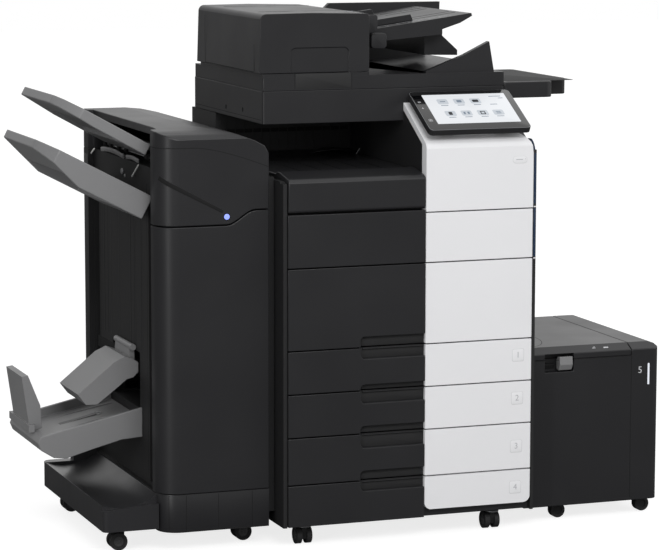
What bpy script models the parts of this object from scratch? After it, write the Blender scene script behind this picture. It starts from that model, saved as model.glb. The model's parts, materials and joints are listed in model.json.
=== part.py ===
"""A floor-standing photocopier with a booklet finisher on its left and a paper unit on its right.

Metres, +Z up. The front faces -Y, the right-hand side is +X. Positions below are written from the
main unit's front left corner at the floor, and every object is then placed from the centre of the
whole object's footprint. A moving piece has its origin on its joint's axis.
"""
import math

import bmesh
import bpy
from mathutils import Matrix, Vector

# Fits
GAP = 0.0003            # between pieces that rest on each other
SEAM = 0.003            # between neighbouring front panels
PIN_PLAY = 0.0005       # around an axle in its hole

# Main unit
MAIN_W = 0.613
MAIN_D = 0.688
WHEEL_R = 0.020         # of the casters
BASE_Z = 2 * WHEEL_R + 0.007        # underside of the cabinet
FRONT_T = 0.028         # thickness of the doors and drawer fronts
FACING_T = 0.012        # outer skin of a front, where the white facings sit
FRONT_X0 = 0.010
FRONT_X1 = MAIN_W - 0.0083
SPLIT_X = 0.340         # dark fronts end and white facings begin
TRAY_SPLITS = (BASE_Z, 0.145, 0.2536, 0.353, 0.452)     # drawers 4, 3, 2, 1 from the floor up
DOOR_SPLITS = (0.452, 0.6388, 0.7609)                   # lower door, upper door
COLUMN_Z0 = 0.7555
ARM_T = 0.017           # upright thickness of the column's slanting arm
TOP_Z = 0.8337          # deck that carries the exit tray
SCANNER_Z0 = 0.9503
WALL = 0.015

# Scanner and document feeder
SCAN_Y0, SCAN_Y1 = 0.148, MAIN_D - 0.022
SCAN_W = MAIN_W - 0.0185
SCAN_Z1 = 1.0257
FEED_Z0 = SCAN_Z1 + 2 * GAP
FEED_SLAB_T = 0.031
FEED_TOP = 1.200
FEED_BLOCK_X1 = 0.2575
TABLE_X1 = SCAN_W + 0.1955
TABLE_Z1 = 1.0325

# Operation panel
PANEL_X0, PANEL_X1 = SPLIT_X + 0.005, FRONT_X1 - 0.0097
PANEL_LEN = 0.160
PANEL_T = 0.014
PANEL_TILT = math.radians(28.6)
PANEL_FRONT_Y = -0.0105
PANEL_FRONT_Z = 0.9405
HINGE_Y, HINGE_Z = 0.035, 0.9375

# Finisher
FIN_X0, FIN_X1 = -0.2747, -0.0187
FIN_Y0, FIN_Y1 = 0.050, MAIN_D - 0.003
FIN_SIDE_X = -0.260     # left side, behind the rounded front
POST_X, POST_Y = -0.2735, FIN_Y1 - 0.040        # rear left post
FIN_R = 0.050           # rounded front left corner
FIN_SKIN = 0.020
FIN_BASE_Z = 2 * WHEEL_R + 0.005
FIN_DOOR_Z = 0.1335
FIN_DOOR_TOP = (0.7365, 0.7685)
FIN_DECK_Z = 0.860      # top of the frame, under the upper cover
FIN_LIP_Z = 0.898       # bar between the two tray exits
FIN_LIP_H = 0.016
FIN_TOP = 0.953
FOOT_X0 = -0.400
FOOT_Z0 = 2 * WHEEL_R + 0.012
FOOT_TOP = 0.157
UPPER_TRAY_LEN, UPPER_TRAY_TILT = 0.230, math.radians(29.0)
LOWER_TRAY_LEN, LOWER_TRAY_TILT = 0.276, math.radians(27.7)
LOWER_TRAY_H = 0.056
SADDLE_SLOPE = math.radians(12.5)
STOP_X0 = -0.524

# Side paper unit
SIDE_W = 0.3477
SIDE_X0 = MAIN_W + GAP
SIDE_X1 = SIDE_X0 + SIDE_W
SIDE_Y0, SIDE_Y1 = 0.055, 0.508
SIDE_WHEEL_R = 0.0177
SIDE_Z0, SIDE_Z1 = 2 * SIDE_WHEEL_R + 0.0006, 0.4137
SIDE_SPLIT_X = SIDE_X1 - 0.0730
SIDE_LID_Z = 0.3860

# Casters
WHEEL_W = 0.012
AXLE_R = 0.003
WEB_HALF = 0.0055       # half the caster fork's thickness
TRAIL = 0.012           # from the swivel axis to the axle

CENTRE = Vector(((STOP_X0 + SIDE_X1) / 2, (PANEL_FRONT_Y + MAIN_D) / 2, 0.0))

for old in list(bpy.data.objects):
    bpy.data.objects.remove(old, do_unlink=True)
parts = bpy.data.collections.new("photocopier")
helpers = bpy.data.collections.new("helpers")
for collection in (parts, helpers):
    bpy.context.scene.collection.children.link(collection)
helpers.hide_render = True


# --- Materials -----------------------------------------------------------------------------------
def material(name, color, roughness=0.5, metallic=0.0, alpha=1.0):
    made = bpy.data.materials.new(name)
    made.use_nodes = True
    shader = made.node_tree.nodes["Principled BSDF"]
    shader.inputs["Base Color"].default_value = (*color, 1.0)
    shader.inputs["Roughness"].default_value = roughness
    shader.inputs["Metallic"].default_value = metallic
    shader.inputs["Alpha"].default_value = alpha
    return made


CHARCOAL = ((0.020, 0.020, 0.022), 0.48)
SOOT = ((0.012, 0.012, 0.013), 0.55)
WHITE = ((0.72, 0.72, 0.73), 0.40)
ASH = ((0.20, 0.20, 0.205), 0.50)
RUBBER = ((0.015, 0.015, 0.015), 0.80)
GLASS = ((0.70, 0.78, 0.76), 0.05, 0.0, 0.35)
TONERS = (("yellow", (0.75, 0.60, 0.03)), ("magenta", (0.60, 0.03, 0.22)),
          ("cyan", (0.02, 0.30, 0.60)), ("black", (0.02, 0.02, 0.02)))

# --- Shapes: each returns a closed bmesh, written in the main unit's coordinates -------------------
TURNS = {"X": Matrix(((0, 0, 1, 0), (1, 0, 0, 0), (0, 1, 0, 0), (0, 0, 0, 1))),
         "Y": Matrix(((1, 0, 0, 0), (0, 0, 1, 0), (0, 1, 0, 0), (0, 0, 0, 1))),
         "Z": Matrix.Identity(4)}


def box(x0, x1, y0, y1, z0, z1):
    """A box between its six faces."""
    shape = bmesh.new()
    middle = Matrix.Translation(((x0 + x1) / 2, (y0 + y1) / 2, (z0 + z1) / 2))
    bmesh.ops.create_cube(shape, size=1.0,
                          matrix=middle @ Matrix.Diagonal((x1 - x0, y1 - y0, z1 - z0, 1.0)))
    return shape


def rod(axis, centre, radius, lo, hi, sides=24):
    """A cylinder along an axis, faceted around its radius with a flat facet at its lowest side."""
    shape = bmesh.new()
    radius /= math.cos(math.pi / sides)
    bmesh.ops.create_cone(shape, cap_ends=True, segments=sides, radius1=radius, radius2=radius,
                          depth=hi - lo)
    bmesh.ops.rotate(shape, verts=shape.verts, matrix=Matrix.Rotation(math.pi / sides, 3, "Z"))
    bmesh.ops.translate(shape, verts=shape.verts, vec=(*centre, (lo + hi) / 2))
    bmesh.ops.transform(shape, verts=shape.verts, matrix=TURNS[axis])
    bmesh.ops.recalc_face_normals(shape, faces=shape.faces)
    return shape


def prism(axis, lo, hi, outline):
    """A flat outline, given across the axis, thickened from lo to hi along it.

    The outline is in (y, z) for axis X, (x, z) for axis Y and (x, y) for axis Z.
    """
    curve = bpy.data.curves.new("outline", "CURVE")
    curve.dimensions = "2D"
    curve.fill_mode = "BOTH"
    curve.extrude = (hi - lo) / 2
    spline = curve.splines.new("POLY")
    spline.points.add(len(outline) - 1)
    for point, (u, v) in zip(spline.points, outline):
        point.co = (u, v, 0.0, 1.0)
    spline.use_cyclic_u = True
    guide = bpy.data.objects.new("outline", curve)
    helpers.objects.link(guide)
    flat = bpy.data.meshes.new_from_object(guide.evaluated_get(bpy.context.evaluated_depsgraph_get()))
    bpy.data.objects.remove(guide, do_unlink=True)
    bpy.data.curves.remove(curve)
    shape = bmesh.new()
    shape.from_mesh(flat)
    bpy.data.meshes.remove(flat)
    bmesh.ops.remove_doubles(shape, verts=shape.verts, dist=0.00001)
    bmesh.ops.translate(shape, verts=shape.verts, vec=(0.0, 0.0, (lo + hi) / 2))
    bmesh.ops.transform(shape, verts=shape.verts, matrix=TURNS[axis])
    bmesh.ops.recalc_face_normals(shape, faces=shape.faces)
    return shape


def arc(centre, radius, start, end, steps=6):
    """Points on a circle between two angles in degrees."""
    angles = [math.radians(start + (end - start) * i / steps) for i in range(steps + 1)]
    return [(centre[0] + radius * math.cos(a), centre[1] + radius * math.sin(a)) for a in angles]


def rounded(u0, u1, v0, v1, radii, steps=4):
    """A rectangle with its corners rounded: lower left, lower right, upper right, upper left."""
    corners = ((u0, v0, 1, 1, 180), (u1, v0, -1, 1, 270), (u1, v1, -1, -1, 0), (u0, v1, 1, -1, 90))
    points = []
    for (u, v, inward_u, inward_v, start), radius in zip(corners, radii):
        if radius:
            points += arc((u + inward_u * radius, v + inward_v * radius), radius, start, start + 90, steps)
        else:
            points.append((u, v))
    return points


def s_curve(u0, v0, u1, v1, steps=8):
    """Points of a smooth step from one level to another."""
    shares = [i / steps for i in range(steps + 1)]
    return [(u0 + (u1 - u0) * t, v0 + (v1 - v0) * t * t * (3 - 2 * t)) for t in shares]


# --- Pieces --------------------------------------------------------------------------------------
def place(name, shape, origin, collection):
    """An object made of a shape, with its own origin and its position in the whole object."""
    bmesh.ops.translate(shape, verts=shape.verts, vec=-Vector(origin))
    mesh = bpy.data.meshes.new(name)
    shape.to_mesh(mesh)
    shape.free()
    made = bpy.data.objects.new(name, mesh)
    made.location = Vector(origin) - CENTRE
    collection.objects.link(made)
    return made


def piece(name, look, origin, base, *steps, turn=None, parent=None, smooth=None):
    """A named piece: a base shape, then ("add" or "cut", shape) steps in order."""
    made = place(name, base, origin, parts)
    made.data.materials.append(material(name, *look))
    for number, (action, shape) in enumerate(steps, 1):
        tool = place(f"{name}_{action}_{number}", shape, origin, helpers)
        tool.hide_render = True
        tool.display_type = "WIRE"
        tool.location = (0.0, 0.0, 0.0)
        tool.parent = made
        boolean = made.modifiers.new(f"{action} {number}", "BOOLEAN")
        boolean.operation = "UNION" if action == "add" else "DIFFERENCE"
        boolean.solver = "EXACT"
        boolean.object = tool
    if turn:
        made.rotation_euler = turn
    if parent:
        made.location -= parent.location
        made.parent = parent
    if smooth:
        made.data.shade_smooth()
        made.data.set_sharp_from_angle(angle=math.radians(smooth))
    return made


FRAME_Y = FRONT_T + GAP


# --- Main unit: frame ------------------------------------------------------------------------------
COLUMN_SLOPE = math.tan(math.radians(30.2))
COLUMN_LIP = (0.008, 0.912)
COLUMN_BACK = SCAN_Y0 - 0.0025


def column_top(y):
    """Height of the column's slanting top at a depth."""
    return COLUMN_LIP[1] + (y - COLUMN_LIP[0]) * COLUMN_SLOPE


BAY_X0, BAY_X1 = 0.025, MAIN_W - 0.023
BAY_Y1 = MAIN_D - 0.168
SHELF_T = 0.006
TONER_SHELF_Z = 0.6450
REAR_WHEEL_Y = MAIN_D - 0.058
WHEEL_XS = (0.060, MAIN_W - 0.089)
RIGHT_DOOR = dict(y0=0.100, y1=MAIN_D - 0.088, z0=0.470, z1=0.825, t=0.012)


def caster_web(x, y, top):
    """The upright between a caster's two wheels, with its axle's hole."""
    low, wide = WHEEL_R - 0.008, WHEEL_R + 0.010
    outline = [(y - 0.013, low), (y + 0.013, low), (y + 0.016, wide), (y + 0.016, top),
               (y - 0.016, top), (y - 0.016, wide)]
    return [("add", prism("X", x - WEB_HALF, x + WEB_HALF, outline)),
            ("cut", rod("X", (y, WHEEL_R), AXLE_R + PIN_PLAY, x - 0.01, x + 0.01, 16))]


def main_frame():
    bays = []
    for low, high in zip(TRAY_SPLITS, TRAY_SPLITS[1:]):
        bays.append(("cut", box(BAY_X0, BAY_X1, 0.0, BAY_Y1, low + SHELF_T + 0.002, high - 0.0005)))
    d = RIGHT_DOOR
    shoulder = [(FRAME_Y, TOP_Z - 0.01), (SCAN_Y0 + 0.01, TOP_Z - 0.01),
                (SCAN_Y0 + 0.01, SCANNER_Z0 - 0.002), (COLUMN_BACK, SCANNER_Z0 - 0.002),
                (COLUMN_BACK, column_top(COLUMN_BACK) - ARM_T - GAP),
                (FRAME_Y, column_top(FRAME_Y) - ARM_T - GAP)]
    webs = [step for x in WHEEL_XS for step in caster_web(x, REAR_WHEEL_Y, BASE_Z + 0.005)]
    return piece(
        "main_frame", SOOT, (0.0, 0.0, BASE_Z),
        box(0.0, MAIN_W, FRAME_Y, MAIN_D, BASE_Z, TOP_Z),
        ("add", prism("X", SPLIT_X + 0.002, MAIN_W - 0.010, shoulder)),
        ("add", box(SPLIT_X + 0.002, MAIN_W - 0.010, SCAN_Y0, MAIN_D, TOP_Z - 0.01, SCANNER_Z0 - GAP)),
        ("add", box(0.001, SPLIT_X + 0.01, 0.500, MAIN_D, TOP_Z - 0.01, SCANNER_Z0 - GAP)),
        ("add", box(0.0, FRONT_X0 - 0.001, 0.006, FRAME_Y + 0.01, BASE_Z, TOP_Z - 0.004)),
        ("add", box(FRONT_X1 + 0.0013, MAIN_W, 0.002, FRAME_Y + 0.01, BASE_Z, 0.888)),
        ("add", box(MAIN_W - 0.011, MAIN_W - 0.0002, FRAME_Y + 0.005, 0.140, TOP_Z - 0.01, 0.888)),
        *bays,
        ("cut", box(WALL, MAIN_W - 2 * WALL, 0.0, 0.450, DOOR_SPLITS[0] + 0.007, DOOR_SPLITS[1] - 0.002)),
        ("cut", box(WALL, MAIN_W - 2 * WALL, 0.0, 0.450, TONER_SHELF_Z, DOOR_SPLITS[2] - 0.006)),
        ("cut", box(MAIN_W - d["t"] - 0.0003, MAIN_W + 0.01, d["y0"] - 0.001, d["y1"] + 0.001,
                    d["z0"] - 0.003, d["z1"] + 0.001)),
        *webs)


frame = main_frame()

# --- Main unit: drawers ----------------------------------------------------------------------------
RECESS_X0 = 0.183
RECESSES = {1: (0.025, 0.027), 2: (0.014, 0.030), 3: (0.018, 0.034), 4: (0.023, 0.025)}  # above, below


def finger_recess(split, above, below):
    """A rounded hand-hold across the seam between two fronts, through their outer skin."""
    outline = rounded(RECESS_X0, SPLIT_X + 0.02, split - below, split + above, (0.012, 0, 0, 0.010))
    return prism("Y", -0.01, FACING_T, outline)


def drawer(number, low, high):
    """A paper drawer: a dark front with a plate behind its white facing, and an open-topped box."""
    z0, z1 = low + SEAM / 2, high - SEAM / 2
    if number == 4:
        z0 = low + 0.002
    box_z0 = low + SHELF_T + 0.002 + GAP
    box_z1 = high - 0.014
    x0, x1, y1 = BAY_X0 + 0.004, BAY_X1 - 0.004, BAY_Y1 - 0.012
    steps = [("add", box(FRONT_X0, SPLIT_X - 0.0005, 0.0, FACING_T + 0.003, z0, z1)),
             ("add", box(x0, x1, FRONT_T - 0.004, y1, box_z0, box_z1)),
             ("cut", box(x0 + 0.003, x1 - 0.003, FRONT_T, y1 - 0.003, box_z0 + 0.004, high)),
             ("cut", finger_recess(high, *RECESSES[number]))]
    if number < 4:
        steps.append(("cut", finger_recess(low, *RECESSES[number + 1])))
    return piece(f"tray_{number}", CHARCOAL, (0.3, 0.0, z0),
                 box(FRONT_X0, FRONT_X1, FACING_T, FRONT_T, z0, z1), *steps)


def facing(name, z0, z1, parent, corner=0.0):
    """A white facing plate, rounded along its two upright edges and, if lowest, at its corners."""
    edge = 0.0025
    plan = rounded(SPLIT_X + 0.0005, FRONT_X1, 0.0, FACING_T - GAP, (edge, edge, 0, 0), 3)
    steps = []
    if corner:
        frame_cut = [(SPLIT_X - 0.01, z0 - 0.01), (FRONT_X1 + 0.01, z0 - 0.01),
                     (FRONT_X1 + 0.01, z0 + corner)]
        frame_cut += arc((FRONT_X1 - corner, z0 + corner), corner, 0, -90)
        frame_cut += arc((SPLIT_X + corner, z0 + corner), corner, 270, 180)[1:]
        frame_cut.append((SPLIT_X - 0.01, z0 + corner))
        steps.append(("cut", prism("Y", -0.01, 0.02, frame_cut)))
    return piece(name, WHITE, (0.3, 0.0, z0), prism("Z", z0, z1, plan), *steps, parent=parent)


levels = list(zip(TRAY_SPLITS, TRAY_SPLITS[1:]))
for count, (low, high) in enumerate(levels):
    number = 4 - count
    tray = drawer(number, low, high)
    bottom = BASE_Z + 0.019 if number == 4 else low + SEAM / 2
    facing(f"tray_panel_{number}", bottom, high - SEAM / 2, tray, 0.018 if number == 4 else 0.0)

# --- Main unit: doors ------------------------------------------------------------------------------
DOOR_PIVOT = (0.004, 0.0055)     # from the door's lower front edge


def front_door(name, low, high, white_top, cut=None):
    """A door hinged along its lower edge, bevelled behind so it clears the frame as it falls open."""
    z0, z1 = low + SEAM / 2, high - SEAM / 2
    side = [(FACING_T, z0), (FRONT_T - 0.010, z0), (FRONT_T, z0 + 0.012), (FRONT_T, white_top),
            (FACING_T, white_top)]
    steps = [("add", box(FRONT_X0, SPLIT_X - 0.0005, 0.0, FACING_T + 0.002, z0, z1)),
             ("add", box(FRONT_X0, SPLIT_X - 0.0005, FACING_T, FRONT_T, white_top - 0.01, z1)),
             ("cut", box(2 * WALL, MAIN_W - 0.033, FRONT_T - 0.010, FRONT_T + 0.01,
                         z0 + 0.020, white_top - 0.020))]
    if cut:
        steps.append(("cut", cut))
    door = piece(name, CHARCOAL, (0.3, DOOR_PIVOT[0], z0 + DOOR_PIVOT[1]),
                 prism("X", FRONT_X0, FRONT_X1, side), *steps)
    facing(name.replace("front_door", "door_panel"), z0, white_top, door)
    return door


front_door("lower_front_door", DOOR_SPLITS[0], DOOR_SPLITS[1], DOOR_SPLITS[1] - SEAM / 2,
           finger_recess(DOOR_SPLITS[0], *RECESSES[1]))
front_door("upper_front_door", DOOR_SPLITS[1], DOOR_SPLITS[2], COLUMN_Z0 - SEAM)

side = RIGHT_DOOR
right_door = piece(
    "right_door", CHARCOAL, (MAIN_W - 0.004, 0.35, side["z0"] + 0.004),
    prism("Y", side["y0"], side["y1"],
          [(MAIN_W - 0.004, side["z0"]), (MAIN_W, side["z0"]), (MAIN_W, side["z1"]),
           (MAIN_W - side["t"], side["z1"]), (MAIN_W - side["t"], side["z0"] + 0.012)]))
flap = dict(x0=MAIN_W + GAP, x1=MAIN_W + 0.004, z0=0.567, z1=0.788, r=0.0024)
flap_side = [(flap["x0"], flap["z0"] + 0.004), (flap["x0"] + flap["r"], flap["z0"]),
             (flap["x1"], flap["z0"]), (flap["x1"], flap["z1"]), (flap["x0"], flap["z1"])]
flap_notch = rounded(0.31, 0.39, 0.755, 0.80, (0.008, 0.008, 0, 0))
piece("bypass_tray", CHARCOAL, (flap["x0"] + flap["r"], 0.35, flap["z0"] + flap["r"]),
      prism("Y", 0.182, 0.518, flap_side),
      ("cut", prism("X", flap["x1"] - 0.002, MAIN_W + 0.01, flap_notch)),
      parent=right_door)

# --- Main unit: inside -----------------------------------------------------------------------------
lower_shelf = DOOR_SPLITS[0] + 0.007
piece("imaging_unit", ASH, (0.30, 0.20, lower_shelf),
      box(0.040, MAIN_W - 0.053, FRONT_T + 0.017, 0.430, lower_shelf + GAP, 0.560),
      ("add", prism("Y", FRONT_T + 0.027, 0.420,
                    [(0.06, 0.55), (0.54, 0.55), (0.50, 0.600), (0.10, 0.615)])),
      *[("add", rod("Y", (0.11 + 0.11 * i, 0.510), 0.018, FRONT_T + 0.004, 0.060, 16)) for i in range(4)])
TONER_LOW, TONER_HIGH = TONER_SHELF_Z + GAP, TONER_SHELF_Z + 0.085
for i, (color_name, tone) in enumerate(TONERS):
    x = 0.100 + 0.115 * i
    piece(f"toner_cartridge_{color_name}", (tone, 0.4), (x, 0.2, TONER_SHELF_Z + 0.04),
          prism("Y", FRONT_T + 0.012, 0.420,
                rounded(x - 0.040, x + 0.040, TONER_LOW, TONER_HIGH, (0.006, 0.006, 0.03, 0.03))),
          ("add", box(x - 0.022, x + 0.022, FRONT_T + 0.003, FRONT_T + 0.017,
                      TONER_SHELF_Z + 0.02, TONER_SHELF_Z + 0.06)),
          smooth=35)

# --- Main unit: exit tray and white column ---------------------------------------------------------
cover_z0 = DOOR_SPLITS[2] + SEAM
piece("exit_tray", CHARCOAL, (0.17, 0.0, cover_z0),
      prism("X", FRONT_X0 + 0.001, SPLIT_X - 0.001,
            [(0.004, cover_z0), (FRONT_T - 0.001, cover_z0), (FRONT_T - 0.001, TOP_Z + GAP),
             (0.494, TOP_Z + GAP), (0.494, 0.856), (0.440, 0.849), (0.092, 0.845), (0.082, 0.8505),
             (0.066, 0.8505), (0.012, 0.8405), (0.006, 0.838), (0.0, 0.832), (0.0, cover_z0 + 0.004)]))

shoulder = [(FRONT_X1 + 0.01, 0.86), (FRONT_X1, 0.880)]
shoulder += arc((FRONT_X1 - 0.045, 0.885), 0.045, 5, 80)[1:]
shoulder += [(FRONT_X1 - 0.0447, 0.9400), (FRONT_X1 - 0.0447, 1.05), (FRONT_X1 + 0.01, 1.05)]
PANEL_MID = (PANEL_X0 + PANEL_X1) / 2
knuckle = (PANEL_MID - 0.050, PANEL_MID + 0.050)
column = piece(
    "panel_column", WHITE, (PANEL_MID, 0.0, COLUMN_Z0),
    prism("X", SPLIT_X + 0.0005, FRONT_X1,
          [(0.0, COLUMN_Z0), (FRONT_T, COLUMN_Z0), (FRONT_T, column_top(FRONT_T) - ARM_T),
           (COLUMN_BACK, column_top(COLUMN_BACK) - ARM_T), (COLUMN_BACK, column_top(COLUMN_BACK)),
           COLUMN_LIP, (0.0025, 0.906), (0.0, 0.898)]),
    ("cut", prism("Y", -0.05, 0.2, shoulder)),
    ("add", rod("X", (HINGE_Y, HINGE_Z), 0.008, *knuckle, 20)),
    ("add", box(*knuckle, HINGE_Y - 0.006, HINGE_Y + 0.006, 0.915, HINGE_Z)))

# --- Operation panel -------------------------------------------------------------------------------
# Modelled level with its top at the height that its tilt about the hinge brings to the right place.
cosine, sine = math.cos(PANEL_TILT), math.sin(PANEL_TILT)
along = cosine * (HINGE_Y - PANEL_FRONT_Y) + sine * (HINGE_Z - PANEL_FRONT_Z)
above = cosine * (PANEL_FRONT_Z - HINGE_Z) + sine * (HINGE_Y - PANEL_FRONT_Y)
panel_y0, panel_top = HINGE_Y - along, HINGE_Z + above
ears = []
for x0, x1 in ((knuckle[0] - 0.014, knuckle[0] - GAP), (knuckle[1] + GAP, knuckle[1] + 0.014)):
    ears += [("add", rod("X", (HINGE_Y, HINGE_Z), 0.008, x0, x1, 20)),
             ("add", box(x0, x1, HINGE_Y - 0.007, HINGE_Y + 0.007, HINGE_Z, panel_top - 0.005))]
piece("control_panel", CHARCOAL, (PANEL_MID, HINGE_Y, HINGE_Z),
      prism("Z", panel_top - PANEL_T, panel_top,
            rounded(PANEL_X0, PANEL_X1, panel_y0, panel_y0 + PANEL_LEN, (0.010,) * 4)),
      *ears, turn=(PANEL_TILT, 0.0, 0.0))

# --- Scanner ---------------------------------------------------------------------------------------
GLASS_BOX = (0.045, SCAN_W - 0.0395, 0.172, 0.560)
GLASS_T = 0.0035
RAIL_Z = 0.9850
LEDGE = 0.008
gx0, gx1, gy0, gy1 = GLASS_BOX
sx0, sx1, sy0, sy1 = gx0 + LEDGE, gx1 - LEDGE, gy0 + LEDGE, gy1 - LEDGE      # the scanner's well
piece("scanner_housing", CHARCOAL, (0.3, 0.4, SCANNER_Z0),
      prism("Z", SCANNER_Z0, SCAN_Z1, rounded(0.0, SCAN_W, SCAN_Y0, SCAN_Y1, (0.006,) * 4, 3)),
      ("cut", box(sx0, sx1, sy0, sy1, SCANNER_Z0 + 0.008, SCAN_Z1 + 0.01)),
      ("cut", box(gx0 - GAP, gx1 + GAP, gy0 - GAP, gy1 + GAP, SCAN_Z1 - GLASS_T - GAP, SCAN_Z1 + 0.01)),
      ("add", box(gx0 + 0.004, gx1 - 0.004, sy0 + 0.02, sy0 + 0.03, SCANNER_Z0 + 0.004, RAIL_Z)),
      ("add", box(gx0 + 0.004, gx1 - 0.004, sy1 - 0.03, sy1 - 0.02, SCANNER_Z0 + 0.004, RAIL_Z)))
piece("platen_glass", GLASS, (0.3, gy1, SCAN_Z1), box(*GLASS_BOX, SCAN_Z1 - GLASS_T, SCAN_Z1))
piece("scan_carriage", SOOT, (gx0 + 0.03, 0.36, RAIL_Z),
      box(sx0 + 0.004, sx0 + 0.054, sy0 + 0.004, sy1 - 0.004, RAIL_Z + GAP, 1.012),
      ("cut", box(sx0 + 0.022, sx0 + 0.036, sy0 + 0.02, sy1 - 0.02, 1.004, 1.02)))
piece("work_table", CHARCOAL, (SCAN_W, 0.35, TABLE_Z1),
      prism("Z", TABLE_Z1 - 0.0375, TABLE_Z1,
            [(SCAN_W + GAP, 0.150)] + arc((TABLE_X1 - 0.085, 0.165), 0.015, 270, 360, 4)
            + [(TABLE_X1 - 0.070, 0.226)] + arc((TABLE_X1 - 0.015, 0.243), 0.015, 280, 360, 4)
            + arc((TABLE_X1 - 0.015, 0.535), 0.015, 0, 90, 4) + [(SCAN_W + GAP, 0.550)]),
      ("cut", box(SCAN_W + 0.012, TABLE_X1 - 0.08, 0.165, 0.54, 0.98, TABLE_Z1 - 0.008)))

# --- Document feeder -------------------------------------------------------------------------------
FEED_Y1 = SCAN_Y1 - 0.004
BLOCK_Y1 = FEED_Y1 - 0.047
slab_top = FEED_Z0 + FEED_SLAB_T
cover_foot = 1.0655
feeder = piece(
    "adf_body", CHARCOAL, (0.3, FEED_Y1, FEED_Z0 + 0.004),
    prism("Z", FEED_Z0, slab_top,
          rounded(0.0, SCAN_W - 0.0005, SCAN_Y0, FEED_Y1, (0.006, 0.004, 0.004, 0.006), 3)),
    ("add", box(0.0005, FEED_BLOCK_X1, SCAN_Y0 + 0.0005, BLOCK_Y1, slab_top - 0.002, cover_foot - 0.001)),
    ("add", box(0.020, 0.215, 0.178, 0.560, slab_top, 1.150)),
    ("add", rod("Y", (0.165, 1.148), 0.016, 0.20, 0.54, 20)),
    ("add", prism("Y", 0.155, 0.172, [(0.400, slab_top - 0.002), (0.571, slab_top - 0.002), (0.558, 1.128),
                                      (0.496, 1.098), (0.400, 1.062)])),
    ("add", prism("Y", FEED_Y1 - 0.062, FEED_Y1 - 0.022,
                  [(0.262, slab_top - 0.002), (0.575, slab_top - 0.002), (0.575, 1.120), (0.262, 1.110)])),
    ("add", prism("Y", 0.171, FEED_Y1 - 0.061,
                  [(0.40, slab_top - 0.002), (0.571, slab_top - 0.002), (0.571, 1.072)])))

cover_x0 = -0.009
outer = [(cover_x0, cover_foot)] + arc((cover_x0 + 0.018, FEED_TOP - 0.014), 0.014, 170, 95, 5)
outer += [(0.12, FEED_TOP + 0.001)] + arc((FEED_BLOCK_X1 - 0.008, FEED_TOP - 0.010), 0.008, 90, 0, 4)
outer += [(FEED_BLOCK_X1, cover_foot)]
cover_grip = rounded(0.068, 0.208, 1.05, 1.122, (0, 0, 0.012, 0.012))
piece("adf_feed_cover", CHARCOAL, (cover_x0, 0.37, cover_foot),
      prism("Y", SCAN_Y0, BLOCK_Y1, outer),
      ("cut", box(cover_x0 + 0.006, FEED_BLOCK_X1 - 0.004, SCAN_Y0 + 0.004, BLOCK_Y1 - 0.004,
                  1.05, FEED_TOP - 0.022)),
      ("cut", box(0.20, FEED_BLOCK_X1 + 0.01, 0.185, 0.555, 1.05, 1.165)),
      ("cut", prism("Y", SCAN_Y0 - 0.01, SCAN_Y0 + 0.0025, cover_grip)))

tray_x0 = FEED_BLOCK_X1 + GAP
tray_top = [(tray_x0, 1.1555), (0.527, 1.1925)]
tray_rise = (tray_top[1][1] - tray_top[0][1]) / (tray_top[1][0] - tray_top[0][0])
input_tray = piece(
    "adf_input_tray", CHARCOAL, (tray_x0, 0.38, 1.1555),
    prism("Y", 0.190, 0.560, tray_top + [(0.529, 1.186), (0.499, 1.170), (0.4546, 1.156), (0.4546, 1.1440),
                                         (0.3158, 1.1331), (tray_x0, 1.128)]),
    ("add", prism("Y", 0.5595, 0.575, [(tray_x0, 1.128), (0.585, 1.160), (0.597, 1.172), (0.598, 1.202),
                                       (0.310, 1.202), (tray_x0 + 0.003, 1.1555)])),
    ("add", prism("Y", 0.240, 0.500, [(0.430, 1.094), (0.513, 1.092), (0.513, 1.104), (0.475, 1.138),
                                      (0.470, 1.155), (0.430, 1.150)])))
for name, y_inner, y_outer in (("adf_guide_front", 0.250, 0.238), ("adf_guide_rear", 0.490, 0.502)):
    base_y = sorted((y_inner, y_outer))
    low = [(x, 1.1555 + tray_rise * (x - tray_x0) + GAP) for x in (0.275, 0.400)]
    piece(name, CHARCOAL, (0.33, y_inner, low[0][1]),
          prism("Y", *base_y, low + [(0.394, low[1][1] + 0.014), (0.281, low[0][1] + 0.016)]),
          parent=input_tray)

# --- Finisher --------------------------------------------------------------------------------------
corner = (FIN_X0 + FIN_R, FIN_Y0 + FIN_R)
WRAP_Y = 0.118
outer_front = [(FIN_X1, FIN_Y0)] + arc(corner, FIN_R, 270, 180, 10)
inner_front = arc(corner, FIN_R - FIN_SKIN, 180, 270, 8) + [(FIN_X1, FIN_Y0 + FIN_SKIN)]
skin = outer_front + [(FIN_X0, WRAP_Y), (FIN_X0 + FIN_SKIN, WRAP_Y)] + inner_front
step_curve = s_curve(-0.118, FIN_DOOR_TOP[0], -0.050, FIN_DOOR_TOP[1])
inner = FIN_SKIN + GAP
core = [(FIN_X1, FIN_Y0 + inner)] + arc(corner, FIN_R - inner, 270, 180, 8)
core += [(FIN_X0 + inner, WRAP_Y + 0.002), (FIN_SIDE_X, WRAP_Y + 0.002), (FIN_SIDE_X, POST_Y),
         (POST_X, POST_Y), (POST_X, FIN_Y1), (FIN_X1, FIN_Y1)]
base_plan = [(FIN_X1, FIN_Y0 + 0.004)] + arc(corner, FIN_R - 0.004, 270, 180, 8)
base_plan += [(FIN_X0 + 0.004, FIN_Y1), (FIN_X1, FIN_Y1)]
SADDLE_GATE = (0.262, 0.492, 0.295, 0.425)
RAIL_DEPTH = 0.012
rear_rail = (FIN_Y1 - 0.085, FIN_Y1 - 0.045)
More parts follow.
